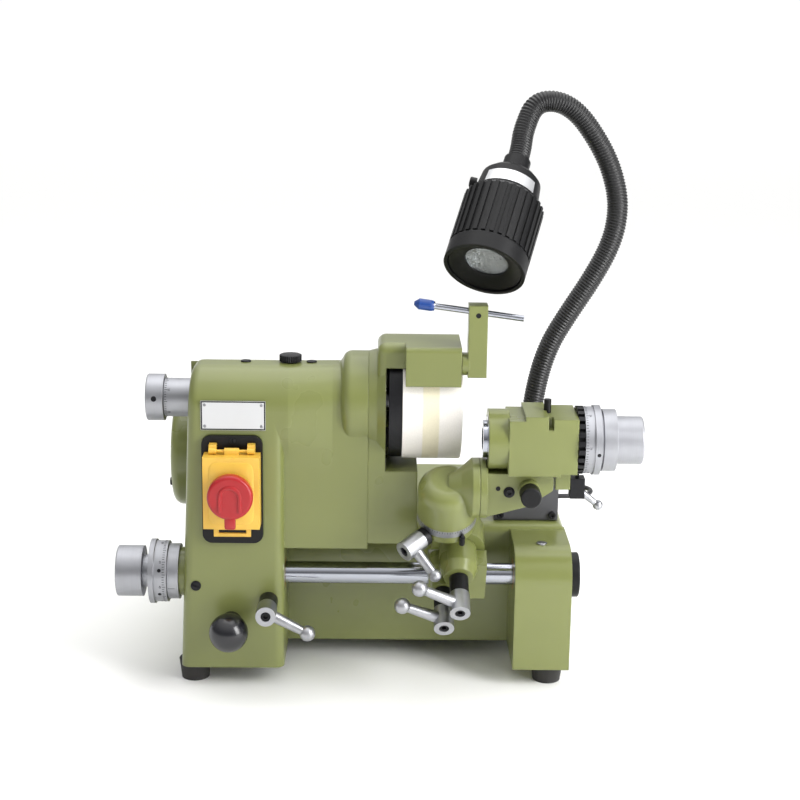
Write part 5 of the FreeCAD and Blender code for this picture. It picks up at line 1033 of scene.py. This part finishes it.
class GRINDER_OT_graduations(bpy.types.Operator):
    """Paints lines and numbers on the sleeves and dials, and sets the pointer of the swivel"""

    bl_idname = "grinder.graduations"
    bl_label = "Graduations"

    def execute(self, context):
        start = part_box("wheel_feed_sleeve")[0].x + 0.8 * MM
        self.drum("sleeve_scale", "frame", "wheel_feed_turn", start, radius=16.5, count=50, every=5,
                  length=2.6, numbers=2.9)
        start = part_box("feed_dial")[1].x - 3.6 * MM
        self.drum("dial_scale", "dial", "feed_dial_turn", start, radius=26.5, count=75, every=5,
                  length=2.8, numbers=-2.6)
        shape = bmesh.new()
        place = axis_matrix((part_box("dial_sleeve")[0].x, *JOINTS["feed_dial_turn"]["pos_m"][1:]), RIGHT)
        marks(shape, place @ Matrix.Rotation(DATUM_TURN, 4, "X"), DATUM_RADIUS, DATUM_START, 1,
              DATUM_LENGTH, DATUM_LENGTH, 1)
        grown("dial_datum", shape, "black_rubbed_in_enamel", "frame")
        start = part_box("work_dial")[0].x + 0.7 * MM
        self.drum("work_scale", "work", "work_spin", start, radius=27.5, count=72, every=6,
                  length=2.4, numbers=2.8)
        swivel = JOINTS["dome_swivel"]
        axis = Vector(swivel["axis"])
        corners = [vertex.co for vertex in NODES["swivel_ring"].data.vertices]
        foot = min((c - Vector(swivel["pos_m"])).dot(axis) for c in corners)
        place = axis_matrix(Vector(swivel["pos_m"]) + axis * foot, axis, FRONT)
        shape = bmesh.new()
        marks(shape, place, SWIVEL_RADIUS, SWIVEL_START, SWIVEL_LINES, SWIVEL_SHORT, SWIVEL_LONG, 2)
        grown("swivel_scale", shape, "black_rubbed_in_enamel", "knuckle_unit")
        shape = bmesh.new()
        pin = place @ Matrix.Rotation(POINTER_TURN, 4, "X") @ Matrix.Translation(POINTER_FOOT)
        lathe(shape, in_mm(POINTER), pin, 32)
        grown("swivel_pointer", shape, "hot_black_oxide_steel", "knuckle_unit")
        return {"FINISHED"}

    def drum(self, name, body, joint, start, radius, count, every, length, numbers):
        """Lines round a drum on a joint's axis, a number at every second long one; sizes in mm."""
        place = axis_matrix((start, *JOINTS[joint]["pos_m"][1:]), RIGHT)
        shape = bmesh.new()
        marks(shape, place, radius * MM, 0, count, length * SHORT_LINE * MM, length * MM, every)
        for step in range(0, count, 2 * every):
            turn = 2 * math.pi * step / count
            numeral(shape, str(step), place, radius * MM, turn, numbers * MM, NUMBER_HEIGHT)
        grown(name, shape, "black_rubbed_in_enamel", body)


# Where the lamp starts and the way it points, as in the part's source, in millimetres
LAMP_START = (119.75, -31.8, 448.5)
LAMP_WAY = (-0.27, -0.65, -0.71)
# Sections of the label and the funnel (station and radius in millimetres), and the label's turn in degrees
LABEL = ((29.5, 26.0), (41, 27.4), (41, 27.8), (29.5, 26.5))
LABEL_START, LABEL_STEP, LABEL_STEPS = 22, 4, 24
FUNNEL = ((105.4, 30.6), (112.2, 30.6), (112.2, 30.0), (106.4, 18.4), (105.4, 18.0))


class GRINDER_OT_lamp_trim(bpy.types.Operator):
    """Puts the bare label on the lamp's back cone and the dark funnel before its lens"""

    bl_idname = "grinder.lamp_trim"
    bl_label = "Lamp label and funnel"

    def execute(self, context):
        place = axis_matrix(Vector(LAMP_START) * MM, LAMP_WAY)
        shape = bmesh.new()
        rows = []
        for step in range(LABEL_STEPS + 1):
            turn = math.radians(LABEL_START + LABEL_STEP * step)
            rows.append([shape.verts.new(place @ Vector((x, r * math.cos(turn), r * math.sin(turn))))
                         for x, r in in_mm(LABEL)])
        skin(shape, rows)
        grown("lamp_label", shape, "lacquered_brushed_aluminium", "frame")
        shape = bmesh.new()
        lathe(shape, in_mm(FUNNEL), place, 72, ring=True)
        grown("lamp_funnel", shape, "black_grained_moulded_abs", "frame")
        return {"FINISHED"}


# A white ceiling over darker walls lights the tops more than the sides, and a thin pale strip along
# the horizon meets the floor: height on the sky and its brightness
SKY = ((0.0, 0.70), (0.03, 0.70), (0.10, 0.10), (0.45, 0.30), (0.95, 1.0))
SKY_STRENGTH = 1.45
FLOOR_REACH = 60.0
# Softboxes: name, place and size in metres, watts, and the point it faces if that isn't the machine.
# The last two only whiten the floor behind it
SOFTBOXES = (
    ("key_softbox", (0.95, -0.7, 0.9), 0.5, 10, None),
    ("right_softbox", (0.8, -0.6, 0.35), 0.4, 5, None),
    ("top_softbox", (0.1, 0.3, 1.9), 1.8, 12, None),
    ("backdrop_softbox", (0, 12, 7), 14, 260, (0, 12, 0)),
    ("far_softbox", (0, 45, 10), 50, 2600, (0, 45, 0)),
)


class GRINDER_OT_stage(bpy.types.Operator):
    """Sets the floor, the studio lights and the camera"""

    bl_idname = "grinder.stage"
    bl_label = "Stage"

    def execute(self, context):
        scene = context.scene
        scene.view_settings.view_transform = "Standard"
        world = bpy.data.worlds.new("studio")
        world.use_nodes = True
        tree = world.node_tree
        where = add(tree, "ShaderNodeTexCoord").outputs["Generated"]
        rise = add(tree, "ShaderNodeSeparateXYZ", Vector=where)
        stops = [(height, (level,) * 3) for height, level in SKY]
        sky = add(tree, "ShaderNodeValToRGB", stops=stops, Fac=rise.outputs["Z"])
        tree.links.new(sky.outputs["Color"], tree.nodes["Background"].inputs["Color"])
        tree.nodes["Background"].inputs["Strength"].default_value = SKY_STRENGTH
        scene.world = world
        floor = bpy.data.meshes.new("studio_floor")
        shape = bmesh.new()
        bmesh.ops.create_grid(shape, x_segments=8, y_segments=8, size=FLOOR_REACH)
        shape.to_mesh(floor)
        shape.free()
        floor.materials.append(FINISHES["matt_painted_board"])
        ground = bpy.data.objects.new("studio_floor", floor)
        scene.collection.objects.link(ground)
        for softbox in SOFTBOXES:
            soft_light(*softbox)
        photo_camera(scene)
        return {"FINISHED"}


def soft_light(name, place, size, watts, aim):
    """Square area light that faces a point, or else the middle of the machine."""
    low, high = CAD_BOX
    target = Vector(aim) if aim else (low + high) / 2
    light = bpy.data.lights.new(name, "AREA")
    light.size = size
    light.energy = watts
    made = bpy.data.objects.new(name, light)
    made.location = place
    made.rotation_mode = "QUATERNION"
    made.rotation_quaternion = (target - Vector(place)).to_track_quat("-Z", "Y")
    bpy.context.scene.collection.objects.link(made)


# Where the photograph was taken from, in millimetres and degrees
CAMERA_PLACE = (3.95, -1395.8, 579)
CAMERA_PITCH = 14.0
CAMERA_YAW = 0.8
CAMERA_ROLL = 0.8
CAMERA_LENS = 72.0
CAMERA_SENSOR = 36.0


def photo_camera(scene):
    """Camera at the photograph's angle: pitched down, with a slight yaw and roll."""
    pitch, yaw, roll = (math.radians(x) for x in (CAMERA_PITCH, CAMERA_YAW, CAMERA_ROLL))
    ahead = Vector((math.sin(yaw) * math.cos(pitch), math.cos(yaw) * math.cos(pitch), -math.sin(pitch)))
    right = ahead.cross(Vector(UP)).normalized()
    right = right * math.cos(roll) + right.cross(ahead) * math.sin(roll)
    up = right.cross(ahead)
    camera = bpy.data.cameras.new("photo_camera")
    camera.lens = CAMERA_LENS
    camera.sensor_width = CAMERA_SENSOR
    made = bpy.data.objects.new("photo_camera", camera)
    turn = Matrix((right, up, -ahead)).transposed().to_4x4()
    made.matrix_world = Matrix.Translation(Vector(CAMERA_PLACE) * MM) @ turn
    scene.collection.objects.link(made)
    scene.camera = made


STEPS = (
    GRINDER_OT_finishes,
    GRINDER_OT_stage,
    GRINDER_OT_lamp_lead,
    GRINDER_OT_gooseneck,
    GRINDER_OT_switch_details,
    GRINDER_OT_plate_trim,
    GRINDER_OT_fixings,
    GRINDER_OT_grub_screws,
    GRINDER_OT_lever_fittings,
    GRINDER_OT_thumb_screw,
    GRINDER_OT_dresser_cap,
    GRINDER_OT_graduations,
    GRINDER_OT_lamp_trim,
)


class GRINDER_PT_pieces(bpy.types.Panel):
    """Lists the machine's pieces, sizes and colours"""

    bl_idname = "GRINDER_PT_pieces"
    bl_label = "Cutter grinder"
    bl_space_type = "VIEW_3D"
    bl_region_type = "UI"
    bl_category = "Grinder"

    def draw(self, context):
        for step in STEPS:
            self.layout.operator(step.bl_idname)
        for group in (context.scene.grinder_look, context.scene.grinder_sizes):
            for name in group.bl_rna.properties.keys():
                if name not in ("rna_type", "name"):
                    self.layout.prop(group, name)


CLASSES = (GrinderLook, GrinderSizes, *STEPS, GRINDER_PT_pieces)


def register():
    for kind in CLASSES:
        bpy.utils.register_class(kind)
    bpy.types.Scene.grinder_look = PointerProperty(type=GrinderLook)
    bpy.types.Scene.grinder_sizes = PointerProperty(type=GrinderSizes)


def unregister():
    del bpy.types.Scene.grinder_sizes
    del bpy.types.Scene.grinder_look
    for kind in reversed(CLASSES):
        bpy.utils.unregister_class(kind)


def main():
    register()
    for step in STEPS:
        group, name = step.bl_idname.split(".")
        getattr(getattr(bpy.ops, group), name)()


if __name__ == "__main__":
    main()
